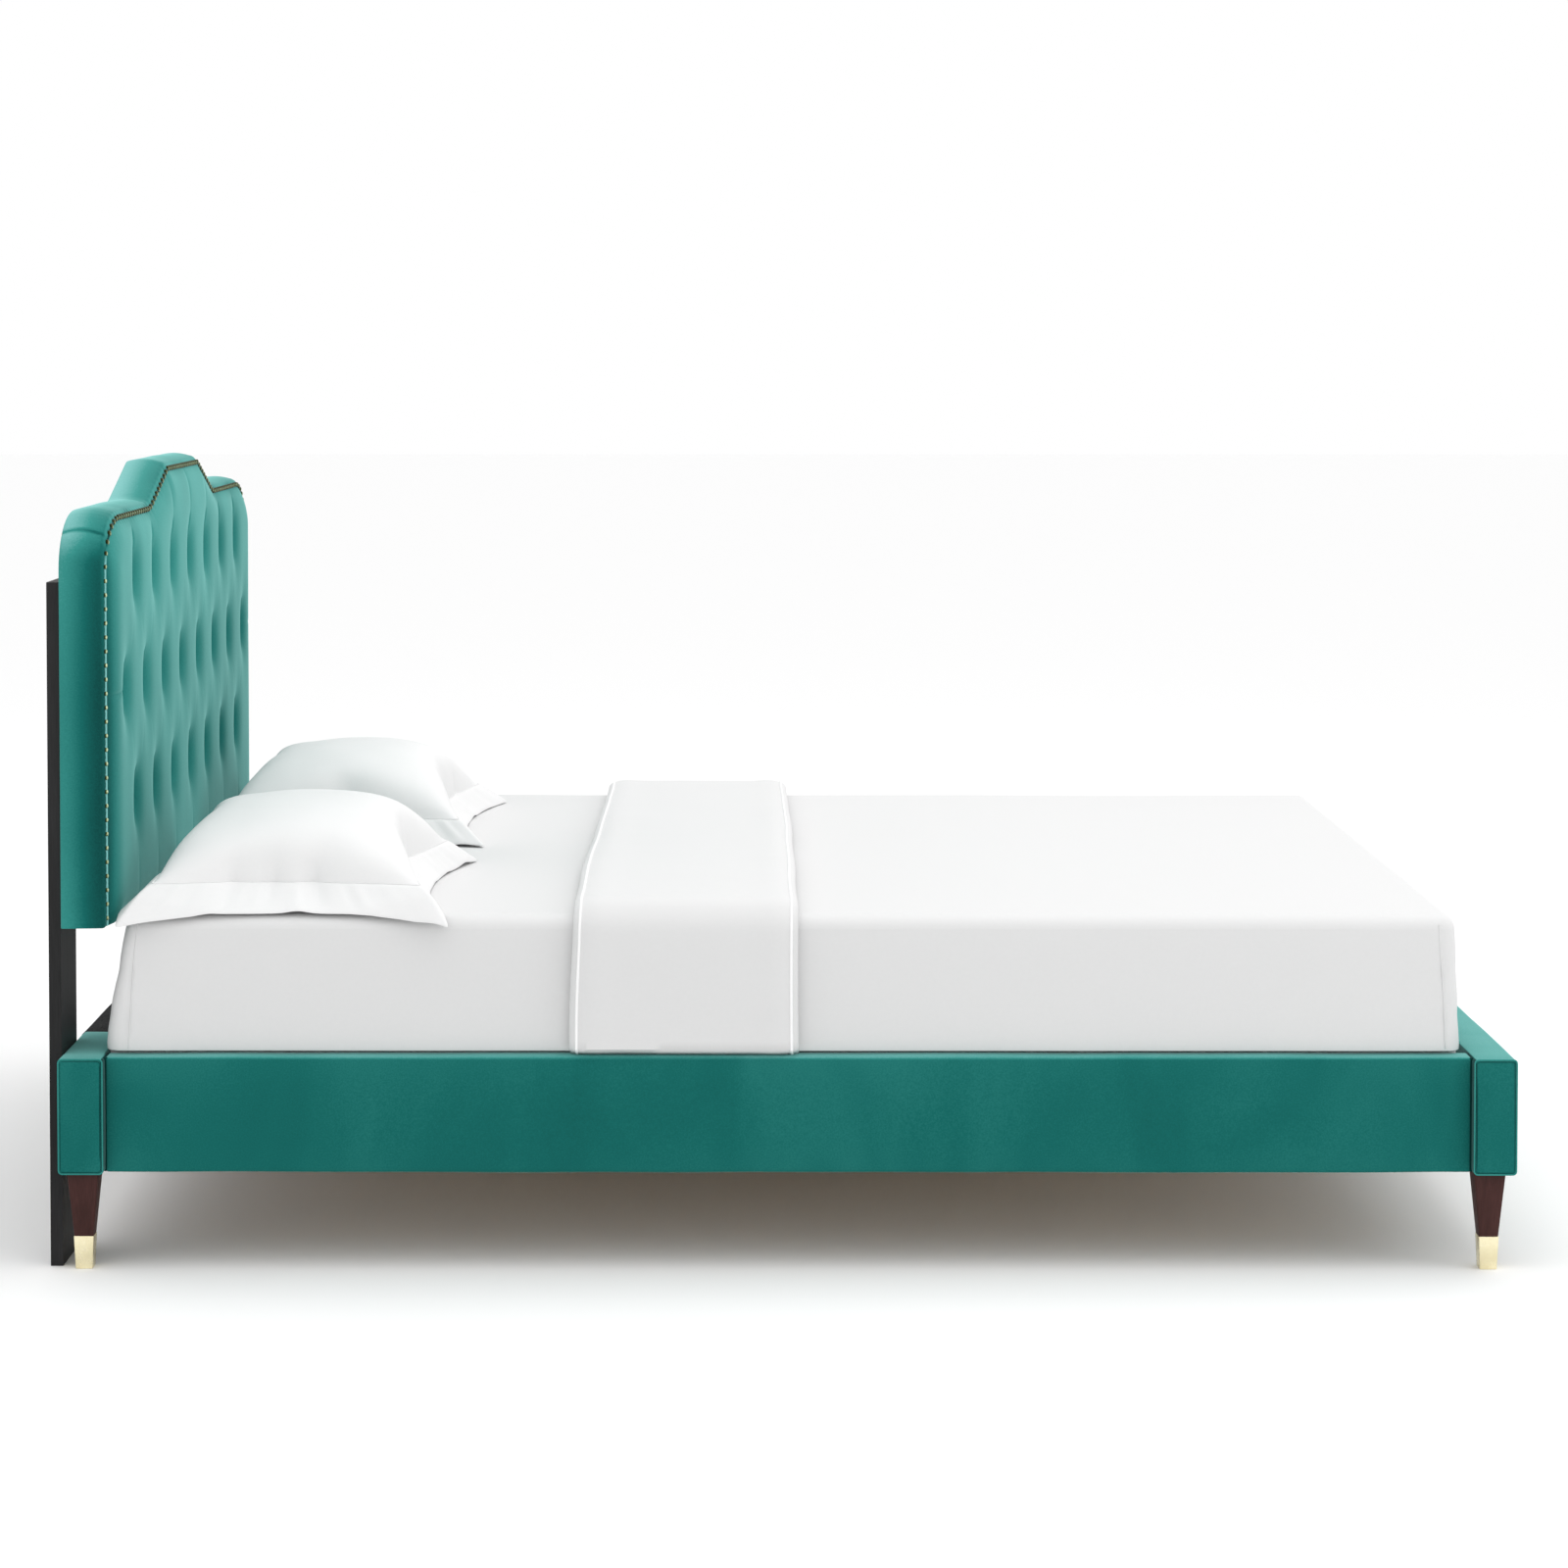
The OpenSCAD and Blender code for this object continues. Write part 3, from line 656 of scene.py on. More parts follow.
def inset_outline(points, distance):
    """The outline moved inwards."""
    before = points - np.roll(points, 1, axis=0)
    after = np.roll(points, -1, axis=0) - points
    u = np.stack([-before[:, 1], before[:, 0]], 1) / np.linalg.norm(before, axis=1)[:, None]
    v = np.stack([-after[:, 1], after[:, 0]], 1) / np.linalg.norm(after, axis=1)[:, None]
    return points + distance * (u + v) / (1 + (u * v).sum(1))[:, None]


def distance_to_line(y, z, line):
    """Distance of each point (y, z) from a chain of points."""
    best = np.full(y.shape, 9.0)
    for a, b in zip(line[:-1], line[1:]):
        d = b - a
        t = np.clip(((y - a[0]) * d[0] + (z - a[1]) * d[1]) / (d @ d), 0, 1)
        best = np.minimum(best, np.hypot(y - a[0] - t * d[0], z - a[1] - t * d[1]))
    return best


def tuft_rows():
    """Places of the buttons as (y, z), in rows from the top one down."""
    rows = {}
    for c in island_centres("headboard_buttons"):
        rows.setdefault(round(c.z, 2), []).append((c.y, c.z))
    return [sorted(rows[z]) for z in sorted(rows, reverse=True)]


def folds(look, rows, top_at):
    """Every fold: start, end, depth at each end and in the middle, and width."""
    made = []
    pitch = rows[0][1][0] - rows[0][0][0]
    soft, deep = look.pleat_depth, look.fold_depth
    slanting, border, upright, sideways = 0.012, 0.014, 0.0085, 0.004
    for upper, lower in zip(rows[:-1], rows[1:]):
        for a in upper:
            for b in lower:
                if abs(a[0] - b[0]) < pitch * 0.75:
                    made.append((a, b, soft * 1.7, soft * 1.7, soft * 0.35, slanting))
    for y, z in rows[0]:
        made.append(((y, z), (y, top_at(y)), deep * 0.45, soft * 0.4, soft, border))
    for y, z in rows[-1]:
        made.append(((y, z), (y, COVER_LOW.z + 0.005), deep * 0.3, soft * 0.2, soft * 0.5,
                     border))
    for row, reach in zip(rows, FOLD_REACHES):
        for y, z in row:
            for end in (z + reach[0], z - reach[1]):
                made.append(((y, z), (y, end), deep, 0.001, deep * 0.62, upright))
    for y, z in (rows[1][0], rows[1][-1]):
        edge = math.copysign(COVER_HIGH.y - 0.024, y)
        middle = soft * (1.8 if y < 0 else 0.6)
        made.append(((y, z), (edge, z), deep * 0.5, soft * 0.5, middle, sideways))
    return made


def tufted(y, z, look, rows, nails, top_at):
    """How far the velvet stands in front of the border's plane at each point (y, z)."""
    line = np.array([(c.y, c.z) for c in nails])
    floor_line = np.array([(COVER_LOW.y, COVER_LOW.z), (COVER_HIGH.y, COVER_LOW.z)])
    inside = distance_to_line(y, z, line)
    outside = (np.abs(y) > line[:, 0].max()) | (z > np.interp(
        y, *np.array(sorted(map(tuple, line[2:-2]))).T) + 0.002) & (z > 1.05)
    inside = np.where(outside, 0.0, inside)
    inside = np.minimum(inside, distance_to_line(y, z, floor_line) * 2.0)
    height = look.rise * (1 - np.exp(-((inside / look.rise_width) ** 1.4)))
    blend = 3.0
    dent, dent_width, dent_stretch = 0.032, 0.0165, 1.6
    pucker, pucker_width = 0.0016, 0.008
    groove, groove_width = 0.0012, 0.004
    total = np.zeros_like(y)
    for a, b, start, end, middle, width in folds(look, rows, top_at):
        dy, dz = b[0] - a[0], b[1] - a[1]
        t = np.clip(((y - a[0]) * dy + (z - a[1]) * dz) / (dy * dy + dz * dz), 0, 1)
        away = np.hypot(y - a[0] - t * dy, z - a[1] - t * dz)
        ends = np.where(t < 0.5, start, end)
        depth = middle + (ends - middle) * np.abs(2 * t - 1) ** 2.5
        total += (depth * np.exp(-away / width)) ** blend
    for row in rows:
        for by, bz in row:
            away = np.hypot(y - by, (z - bz) / dent_stretch)
            total += (dent * np.exp(-away / dent_width)) ** blend
    height -= total ** (1 / blend)
    puckers = np.full(y.shape, 9.0)
    for c in nails:
        puckers = np.minimum(puckers, np.hypot(y - c.y, z - c.z))
    height -= pucker * np.exp(-((puckers / pucker_width) ** 2))
    height -= groove * np.exp(-((distance_to_line(y, z, line) / groove_width) ** 2))
    return np.maximum(height, BUTTON_LOW.x - NAIL_LOW.x)


def tufted_sheet(look, nails, inset, columns, ranks):
    """A grid the shape of the headboard's front, inset from its outline and tufted."""
    bm = bmesh.new()
    bmesh.ops.create_grid(bm, x_segments=columns, y_segments=ranks, size=1)
    front = inset_outline(outline_points(), inset)
    upper = np.array(sorted(map(tuple, front[front[:, 1] > COVER_LOW.z + 0.1])))
    half = upper[:, 0].max()

    def top_at(at):
        return np.interp(at, upper[:, 0], upper[:, 1])

    flat = np.array([v.co[:2] for v in bm.verts])
    y = np.sign(flat[:, 0]) * half * (1 - (1 - np.abs(flat[:, 0])) ** 1.3)
    bottom = COVER_LOW.z + inset
    z = bottom + (flat[:, 1] + 1) / 2 * (top_at(y) - bottom)
    x = NAIL_LOW.x + tufted(y, z, look, tuft_rows(), nails, top_at)
    for v, place in zip(bm.verts, np.stack([x, y, z], 1)):
        v.co = place
    return bm


def headboard_foam(look, nails):
    """The foam: the velvet's tufted front, set back a little and more round the buttons."""
    bm = tufted_sheet(look, nails, look.edge, 150, 64)
    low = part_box("headboard_foam")[0]
    buttons = [place for row in tuft_rows() for place in row]
    gap, button_gap, button_reach = 0.006, 0.014, 0.030
    for v in bm.verts:
        near = min(math.hypot(v.co.y - y, v.co.z - z) for y, z in buttons)
        v.co.x -= gap + button_gap * math.exp(-((near / button_reach) ** 2))
    rim = [e for e in bm.edges if e.is_boundary]
    made = bmesh.ops.extrude_edge_only(bm, edges=rim)["geom"]
    for v in only(BMVert, made):
        v.co.x = low.x + 0.0005
    back = [e for e in only(BMEdge, made) if e.is_boundary]
    bmesh.ops.holes_fill(bm, edges=back, sides=0)
    face_out(bm)
    return bm


def headboard_cover(look, nails):
    """The velvet: a tufted front wrapped round the edges onto the back."""
    bm = tufted_sheet(look, nails, look.edge, 396, 168)
    border = NAIL_LOW.x
    rim = [e for e in bm.edges if e.is_boundary]
    loop = boundary_loop(rim)
    base = np.array([v.co for v in loop])
    outward = loop_normals(base[:, 1:])
    depth = border - LINING_LOW.x
    step_up = base[:, 0] - border
    rings = [(look.edge * (math.cos(a) - 1), look.edge * math.sin(a))
             for a in np.radians([18, 36, 54, 72, 90])]
    side_steps = 12
    back_radius, back_gap = 0.0025, 0.0008
    for k in range(1, side_steps + 1):
        t = k / side_steps
        rings.append((-look.edge - (depth - look.edge - back_radius) * t,
                      look.edge + look.crown * math.sin(math.pi * t) ** 0.8))
    for a in np.radians([30, 60, 90]):
        rings.append((-depth + back_radius * (1 - math.sin(a)) + back_gap,
                      look.edge - back_radius * (1 - math.cos(a))))
    for wrap in (0.012, 0.022):
        rings.append((-depth + back_gap, look.edge - back_radius - wrap))
    seams = shoulder_seams(base)
    square = [1.0 - (1 - ROUND_SHARE) * (1 - ease(z, COVER_LOW.z + 0.018, COVER_LOW.z + 0.05))
              for z in base[:, 2]]
    for rank, (shift, out) in enumerate(rings):
        made = bmesh.ops.extrude_edge_only(bm, edges=rim)["geom"]
        rim = only(BMEdge, made)
        order = {v: i for i, v in enumerate(loop)}
        step = {}
        for v in only(BMVert, made):
            old = next(e.other_vert(v) for e in v.link_edges if e.other_vert(v) in order)
            step[order[old]] = v
        loop = [step[i] for i in range(len(loop))]
        pinch = seams * (1.0 if look.edge * 0.9 < out else 0.0)
        for i, v in enumerate(loop):
            uneven = 0.0007 * noise.noise(Vector((base[i, 1], base[i, 2], shift)) * 14)
            away, back = out, shift
            if rank < EDGE_STEPS:
                away = look.edge * (out / look.edge) ** square[i]
                back = look.edge * (max(0.0, 1 + shift / look.edge) ** square[i] - 1)
            elif out > look.edge:
                away = (look.edge + (out - look.edge) * (square[i] - ROUND_SHARE)
                        / (1 - ROUND_SHARE))
            reach = away - pinch[i] + uneven
            rest = step_up[i] * max(0.0, 1 - (rank + 1) / EDGE_STEPS)
            v.co = (border + back + rest, base[i, 1] + outward[i, 0] * reach,
                    base[i, 2] + outward[i, 1] * reach)
    face_out(bm)
    return bm


def boundary_loop(edges):
    """The vertices of a closed rim, in order."""
    start = edges[0].verts[0]
    rim = set(edges)
    loop, at, last = [start], start, None
    while True:
        step = next(e for e in at.link_edges if e in rim and e is not last)
        at, last = step.other_vert(at), step
        if at is start:
            return loop
        loop.append(at)


def loop_normals(points):
    """Outward direction at each point of a closed loop of (y, z)."""
    area = np.sum(points[:, 0] * np.roll(points[:, 1], -1)
                  - np.roll(points[:, 0], -1) * points[:, 1])
    before = points - np.roll(points, 1, axis=0)
    after = np.roll(points, -1, axis=0) - points
    before /= np.linalg.norm(before, axis=1)[:, None]
    after /= np.linalg.norm(after, axis=1)[:, None]
    u = np.stack([before[:, 1], -before[:, 0]], 1)
    v = np.stack([after[:, 1], -after[:, 0]], 1)
    out = (u + v) / np.maximum(1 + (u * v).sum(1), 0.5)[:, None]
    return out if area > 0 else -out


def shoulder_seams(base):
    """Depth of the small pleats that gather the velvet round each shoulder."""
    pinch = np.zeros(len(base))
    width = 0.0030
    for side in (-1, 1):
        for at, depth in ((0.755, 0.0018), (0.366, 0.0008)):
            away = np.abs(base[:, 1] * side - at) + np.where(base[:, 2] > 1.0, 0, 9)
            pinch += depth * np.exp(-away / width)
    return pinch


def headboard_painted_light(co, normal):
    """Painted light and shade on the headboard's velvet: pale on top, painted shade each side of
    the nails.
    """
    high = ease(co.z, 0.80, 1.12)
    trim = NAIL_LOW.x
    # The tufted front first, then the edge, the top and the sides.
    if normal.x > 0.6 and co.x > trim - 0.004:
        # Painted light on the front: lighter high up, darker low down; painted shade near the
        # side edge, in the deep parts by the nails and towards the far side.
        value = 0.21 + 0.22 * high - 0.07 * ease(0.80 - co.z, 0.0, 0.25)
        side = COVER_HIGH.y - abs(co.y)
        value -= 0.34 * math.exp(-((side - 0.013) / 0.016) ** 2)
        value -= 0.22 * ease(trim + 0.013 - co.x, 0.0, 0.022) + 0.16 * ease(co.y, 0.1, 0.75)
    else:
        # Painted light on the edge and the sides: dark by the front, lighter towards the back
        # and higher up, with painted shade at the shoulder seams.
        back = (trim - co.x) / (trim - LINING_LOW.x)
        value = -0.36 + 0.78 * ease(back, 0.05, 1.0) + 0.11 * high
        value -= 0.4 * math.exp(-((abs(co.y) - 0.762) / 0.0022) ** 2) * ease(co.z, 1.0, 1.05)
    # Painted highlight on faces that look up.
    return value + 0.50 * ease(normal.z, 0.2, 0.9)


class BED_OT_headboard_cover(bpy.types.Operator):
    """Make the tufted velvet cover of the headboard"""

    bl_idname = "bed.headboard_cover"
    bl_label = "Headboard Cover"

    def execute(self, context):
        look = context.scene.bed_headboard
        bm = headboard_cover(look, island_centres("headboard_nails"))
        cover = piece("headboard_velvet", bm, finish("velvet", velvet), BED,
                      ("headboard_cover",), sharp=60, pile=headboard_painted_light)
        bm = headboard_foam(look, island_centres("headboard_nails"))
        filling = piece("headboard_filling", bm, finish("foam", foam), BED,
                        ("headboard_foam",), sharp=60)
        return {"FINISHED"}


def dome(bm, place, radius, squash, sides, ranks):
    """Adds a flattened ball with its pole towards the foot of the bed."""
    bmesh.ops.create_uvsphere(
        bm, u_segments=sides, v_segments=ranks, radius=radius,
        matrix=Matrix.Translation(place) @ Matrix.Diagonal((squash, 1, 1, 1))
        @ Matrix.Rotation(math.pi / 2, 4, "Y"))


class BED_OT_headboard_trim(bpy.types.Operator):
    """Make the nail heads, the cord under them and the covered buttons"""

    bl_idname = "bed.headboard_trim"
    bl_label = "Nails and Buttons"

    def execute(self, context):
        centres = island_centres("headboard_nails")
        bm = bmesh.new()
        for c in centres:
            radius = 0.0038 + 0.001 * ease(c.z, 1.05, 1.1)
            dome(bm, (NAIL_LOW.x - 0.0004, c.y, c.z), radius, 0.66, 12, 8)
        piece("nail_heads", bm, finish("nail_brass", nail_metal), BED,
              ("headboard_nails",), sharp=50)
        cord = bmesh.new()
        line = ordered(centres)
        ends = [Vector((end.x, end.y, COVER_LOW.z + 0.003)) for end in (line[0], line[-1])]
        path = [(NAIL_LOW.x - 0.0008, c.y, c.z) for c in (ends[0], *line, ends[1])]
        sweep(cord, path, 0.0019, up=Vector((1, 0, 0)))
        face_out(cord)
        # Painted light on the cord: a painted highlight on the side runs and painted shade along
        # the top.
        piece("trim_cord", cord, finish("velvet", velvet), BED,
              pile=lambda co, normal: 1.1 - 1.8 * ease(co.z, 1.05, 1.10))
        bm = bmesh.new()
        for c in island_centres("headboard_buttons"):
            dome(bm, (BUTTON_LOW.x + 0.0030, c.y, c.z), 0.0125, 0.55, 24, 14)
        # Painted light on the buttons: lighter where they face up.
        piece("covered_buttons", bm, finish("velvet", velvet), BED,
              ("headboard_buttons",), pile=lambda co, normal: 0.35 + 0.3 * normal.z)
        return {"FINISHED"}


def ordered(centres):
    """Nail centres in order along the border, from the near foot of it to the far one."""
    left = list(centres)
    at = min(left, key=lambda c: (round(c.z, 2), c.y))
    chain = [at]
    left.remove(at)
    while left:
        at = min(left, key=lambda c: (c - at).length)
        left.remove(at)
        chain.append(at)
    return chain


class BED_OT_headboard_back(bpy.types.Operator):
    """Make the lining of the headboard's back and its staples"""

    bl_idname = "bed.headboard_back"
    bl_label = "Headboard Back"

    def execute(self, context):
        edge = inset_outline(outline_points(), 0.014)
        bm = bmesh.new()
        ring = [bm.verts.new((LINING_HIGH.x, y, z)) for y, z in edge]
        face = bm.faces.new(ring)
        made = bmesh.ops.extrude_face_region(bm, geom=[face])["geom"]
        for v in only(BMVert, made):
            v.co.x = LINING_LOW.x + 0.0002
        face_out(bm)
        piece("back_lining", bm, finish("black_lining", lining), BED,
              ("headboard_back_cloth",))
        staples = bmesh.new()
        staple = Matrix.Diagonal((0.0009, 0.011, 0.0012, 1))
        line = inset_outline(edge, 0.006)
        for p, along in spaced(np.vstack([line, line[:1]]), 0.045):
            place = Matrix.Translation((LINING_LOW.x + 0.0001, p[0], p[1]))
            turn = Matrix.Rotation(math.atan2(along[1], along[0]), 4, "X")
            bmesh.ops.create_cube(staples, size=1, matrix=place @ turn @ staple)
        piece("back_staples", staples, finish("steel"), BED)
        return {"FINISHED"}


def spaced(line, pitch):
    """Points at equal steps along a chain of points, with the chain's direction there."""
    for a, b in zip(line[:-1], line[1:]):
        length = np.linalg.norm(b - a)
        count = max(1, round(length / pitch)) if length > pitch / 2 else 0
        for k in range(count):
            yield a + (b - a) * (k + 0.5) / count, (b - a) / length


# ---------------------------------------------------------------- rails and legs


def rail_end_welt(bm, box, side, radius, inset):
    """Adds a cord round the end face of a rail that runs along Y."""
    low, high = box
    corner = 0.005
    y = high.y - radius * 0.4 if side > 0 else low.y + radius * 0.4
    path = []
    for sx, sz, start in ((1, 1, 0), (-1, 1, 90), (-1, -1, 180), (1, -1, 270)):
        x = (high.x if sx > 0 else low.x) - sx * (corner + inset)
        z = (high.z if sz > 0 else low.z) - sz * (corner + inset)
        for step in range(4):
            angle = math.radians(start + 30 * step)
            path.append((x + corner * math.cos(angle), y, z + corner * math.sin(angle)))
    sweep(bm, path, radius, closed=True, up=Vector((0, 1, 0)))


def rail_end_cords(welts, stitches, box, side):
    """Adds the welt of a rail's end face and the line of stitches inside it."""
    rail_end_welt(welts, box, side, 0.0013, 0.0008)
    rail_end_welt(stitches, box, side, 0.0006, 0.0036)


def joint_shade_strips():
    """Strips of velvet, without sheen and painted dark, that close the joints between the side
    rails and the end rails: a painted shade in the gaps.
    """
    bm = bmesh.new()
    inset, lap = Vector((0, 0.0013, 0.0013)), 0.003
    for node in SIDE_RAILS:
        low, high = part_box(node)
        for end, wall in ((low.x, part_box("head_rail_cover")[1].x),
                          (high.x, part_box("foot_rail_cover")[0].x)):
            block(bm, Vector((min(end, wall) - lap, low.y, low.z)) + inset,
                  Vector((max(end, wall) + lap, high.y, high.z)) - inset, 0.0004, 1)
    return bm


def rail_painted_light(co, normal):
    """Painted light and shade on the rails' velvet: palest on top, and painted shade on the
    inner end faces.
    """
    # Painted highlights along the top and bottom edges and towards the head end.
    across = ease(co.z, 0.25, 0.32) * 0.05 + ease(-co.z, -0.18, -0.146) * 0.03
    left = 0.06 * ease(-co.x, 0.5, 1.05)
    # Painted shade on end faces that sit inside the joints.
    inner = abs(normal.x) > 0.45 and min(abs(co.x - end) for end in RAIL_ENDS) > 0.006
    return SHADED if inner else painted_top_light(normal) + across + left


class BED_OT_rails(bpy.types.Operator):
    """Make the velvet and the lining on the four rails"""

    bl_idname = "bed.rails"
    bl_label = "Rails"

    def execute(self, context):
        cloth = finish("velvet", velvet)
        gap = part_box("foot_rail_cover")[0].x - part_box(SIDE_RAILS[0])[1].x
        snug = Vector((gap * 0.92, 0, 0))
        for node in SIDE_RAILS:
            low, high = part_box(node)
            bm = soft_block(low - snug, high + snug, 0.0048, RAIL_STEP, 0.0012, RAIL_WOBBLE)
            piece(node.replace("_cover", "_velvet"), bm, cloth, BED, (node,),
                  pile=rail_painted_light)
        low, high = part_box("foot_rail_cover")
        bm = soft_block(low, high, 0.0055, RAIL_STEP, 0.0012, RAIL_WOBBLE)
        welts, stitches = bmesh.new(), bmesh.new()
        for side in (-1, 1):
            rail_end_cords(welts, stitches, (low, high), side)
        piece("foot_rail_velvet", bm, cloth, BED, ("foot_rail_cover",),
              pile=rail_painted_light)
        low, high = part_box("head_rail_cover")
        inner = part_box("head_rail_cloth")[1].y
        bm = bmesh.new()
        for side in (-1, 1):
            a = Vector((low.x, inner if side > 0 else low.y, low.z))
            b = Vector((high.x, high.y if side > 0 else -inner, high.z))
            sleeve = soft_block(a, b, 0.0055, RAIL_STEP * 0.7, 0.0010, RAIL_WOBBLE)
            rail_end_cords(welts, stitches, (a, b), side)
            mesh = mesh_of("sleeve", sleeve)
            bm.from_mesh(mesh)
            bpy.data.meshes.remove(mesh)
        piece("head_rail_sleeves", bm, cloth, BED, ("head_rail_cover",),
              pile=rail_painted_light)
        # Painted highlight on the welts and painted shade along the stitching.
        for name, cords, painted_light in (("rail_welts", welts, 0.40),
                                     ("rail_stitching", stitches, -0.2)):
            face_out(cords)
            piece(name, cords, cloth, BED, pile=lambda co, normal: painted_light)
        # Painted shade: dark strips with no sheen put in the joints.
        piece("joint_shade_strips", joint_shade_strips(), finish("velvet_shade", velvet, 0.0), BED,
              pile=lambda co, normal: SHADED)
        low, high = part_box("head_rail_cloth")
        thin = Vector((0.0002, -0.02, 0.0002))
        bm = soft_block(low + thin, high - thin, 0.0028, RAIL_STEP, 0.0005, 0.0006, 11.0)
        piece("head_rail_lining", bm, finish("black_lining", lining), BED,
              ("head_rail_cloth",))
        return {"FINISHED"}


def taper(bm, centre, z0, z1, w0, w1, radius):
    """Adds a square post that widens from w0 at z0 to w1 at z1, with rounded edges."""
    made = bmesh.ops.create_cube(bm, size=1)["verts"]
    for v in made:
        top = v.co.z > 0
        width = w1 if top else w0
        v.co = (centre.x + v.co.x * width, centre.y + v.co.y * width, z1 if top else z0)
    round_edges(bm, made, radius, 3)


class BED_OT_legs(bpy.types.Operator):
    """Make the tapered corner legs and their brass ferrules"""

    bl_idname = "bed.legs"
    bl_label = "Corner Legs"

    def execute(self, context):
        espresso = finish("dark_wood", wood, (0.040, 0.015, 0.013), (0.068, 0.026, 0.023),
                          "Z", 0.5, 1.6, 0.14)
        brass = finish("ferrule_brass", metal, (0.86, 0.77, 0.50), (0.94, 0.86, 0.60), 0.24,
                       40.0, 0.0001, 0.05)
        for corner in CORNERS:
            low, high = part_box(f"leg_{corner}")
            cup_low, cup_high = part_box(f"ferrule_{corner}")
            centre = (low + high) / 2
            cup_top = cup_high.x - cup_low.x
            cup_foot = width_at(f"ferrule_{corner}", cup_low.z)
            bm = bmesh.new()
            taper(bm, centre, cup_high.z - 0.004, high.z, cup_top - 0.0022,
                  high.x - low.x, 0.0022)
            piece(f"corner_leg_{corner}", bm, espresso, BED,
                  (f"leg_{corner}",), sharp=60)
            bm = bmesh.new()
            taper(bm, centre, 0, cup_high.z, cup_foot, cup_top, 0.0014)
            piece(f"brass_ferrule_{corner}", bm, brass, BED,
                  (f"ferrule_{corner}",), sharp=60)
        return {"FINISHED"}


class BED_OT_frame_finishes(bpy.types.Operator):
    """Give every structural node of the frame its own finish"""

    bl_idname = "bed.frame_finishes"
    bl_label = "Frame Finishes"

    def execute(self, context):
        for name, (nodes, maker, values) in NODE_FINISHES.items():
            material = finish(name, maker, *values)
            for node in nodes:
                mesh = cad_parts[node].data
                mesh.materials.clear()
                mesh.materials.append(material)
        return {"FINISHED"}


# ---------------------------------------------------------------- bedding


class BED_OT_mattress(bpy.types.Operator):
    """Make the mattress in its fitted sheet"""

    bl_idname = "bed.mattress"
    bl_label = "Mattress"

    def execute(self, context):
        low, high = MATTRESS_LOW, MATTRESS_HIGH
        bm = bmesh.new()
        block(bm, low, high, 0.021, 6)
        slice_box(bm, low, high, 0.023)
        for lift in (0.0005, 0.003, 0.006):
            cut(bm, (0, 0, RAIL_TOP + lift), (0, 0, 1))
        height = high.z - low.z
        end, head_lean, head_swell, foot_lean = 0.1, 0.024, 0.007, 0.006
        bm.normal_update()
        for v in bm.verts:
            up = (v.co.z - low.z) / height
            place = v.co.copy()
            if v.co.x < low.x + end:
                lean = head_lean * up ** 2.2
                lean -= head_swell * math.sin(math.pi * min(1.0, up * 1.4 + 0.1))
                v.co.x += lean * (1 - (v.co.x - low.x) / end)
            if v.co.x > high.x - end:
                v.co.x -= foot_lean * up * (1 - (high.x - v.co.x) / end)
            v.co.y += side_bulge(place.y, place.z)
            soft = 0.0016 * noise.noise(place * 3.1) + 0.0004 * noise.noise(place * 9.7)
            pull = sheet_pull(place, low, high)
            v.co += v.normal * (soft - 0.0008 + pull)
        corner_seams(bm, low, high)
        # 0.90 greys the sheet's upright sides: painted shade.
        sheet = finish("bed_linen", linen, WHITE, 0.90)
        obj = piece("mattress_in_sheet", bm, sheet, "mattress",
                    ("mattress",), sharp=60)
        return {"FINISHED"}


def side_bulge(y, z):
    """How far the bedding's sides swell out over the rails at height z, near and far."""
    into = max(0.0, 1 - (MATTRESS_HIGH.y - abs(y)) / SWELL_REACH)
    up = min(1.0, max(0.0, (z - RAIL_TOP) / (MATTRESS_HIGH.z - RAIL_TOP)))
    swell = (1 - up) ** 0.9 * ease(z, RAIL_TOP + 0.0005, RAIL_TOP + 0.005)
    return math.copysign(SIDE_SWELL * swell * min(1.0, into), y)


def sheet_pull(p, low, high):
    """Ripples where the fitted sheet is pulled round the mattress's corners."""
    total = 0.0
    reach, fade, depth = 0.35, 0.09, 0.0011
    for cx in (low.x, high.x):
        for cy in (low.y, high.y):
            away = math.hypot(p.x - cx, p.y - cy)
            if away < reach and p.z < high.z - 0.004:
                fan = math.sin(p.z * 95 + away * 40) * math.exp(-away / fade)
                total += depth * fan * (1 - (p.z - low.z) / (high.z - low.z)) ** 0.5
    return total


def corner_seams(bm, low, high):
    """Adds the upright seam of the fitted sheet beside each corner."""
    into, radius, steps = 0.026, 0.0012, 17
    for sx, cx, lean in ((1, low.x, 0.016), (-1, high.x, -0.006)):
        for sy, cy in ((1, low.y), (-1, high.y)):
            path = []
            for k in range(steps + 1):
                t = k / steps
                z = low.z + 0.02 + (high.z - low.z - 0.034) * t
                sway = 0.0011 * math.sin(6 * t + 40 * into + cx)
                depth = 0.0008 + 0.0012 * t ** 8
                path.append((cx + sx * (into + sway) + lean * t,
                             cy + sy * depth + side_bulge(cy, z), z))
            sweep(bm, path, radius)


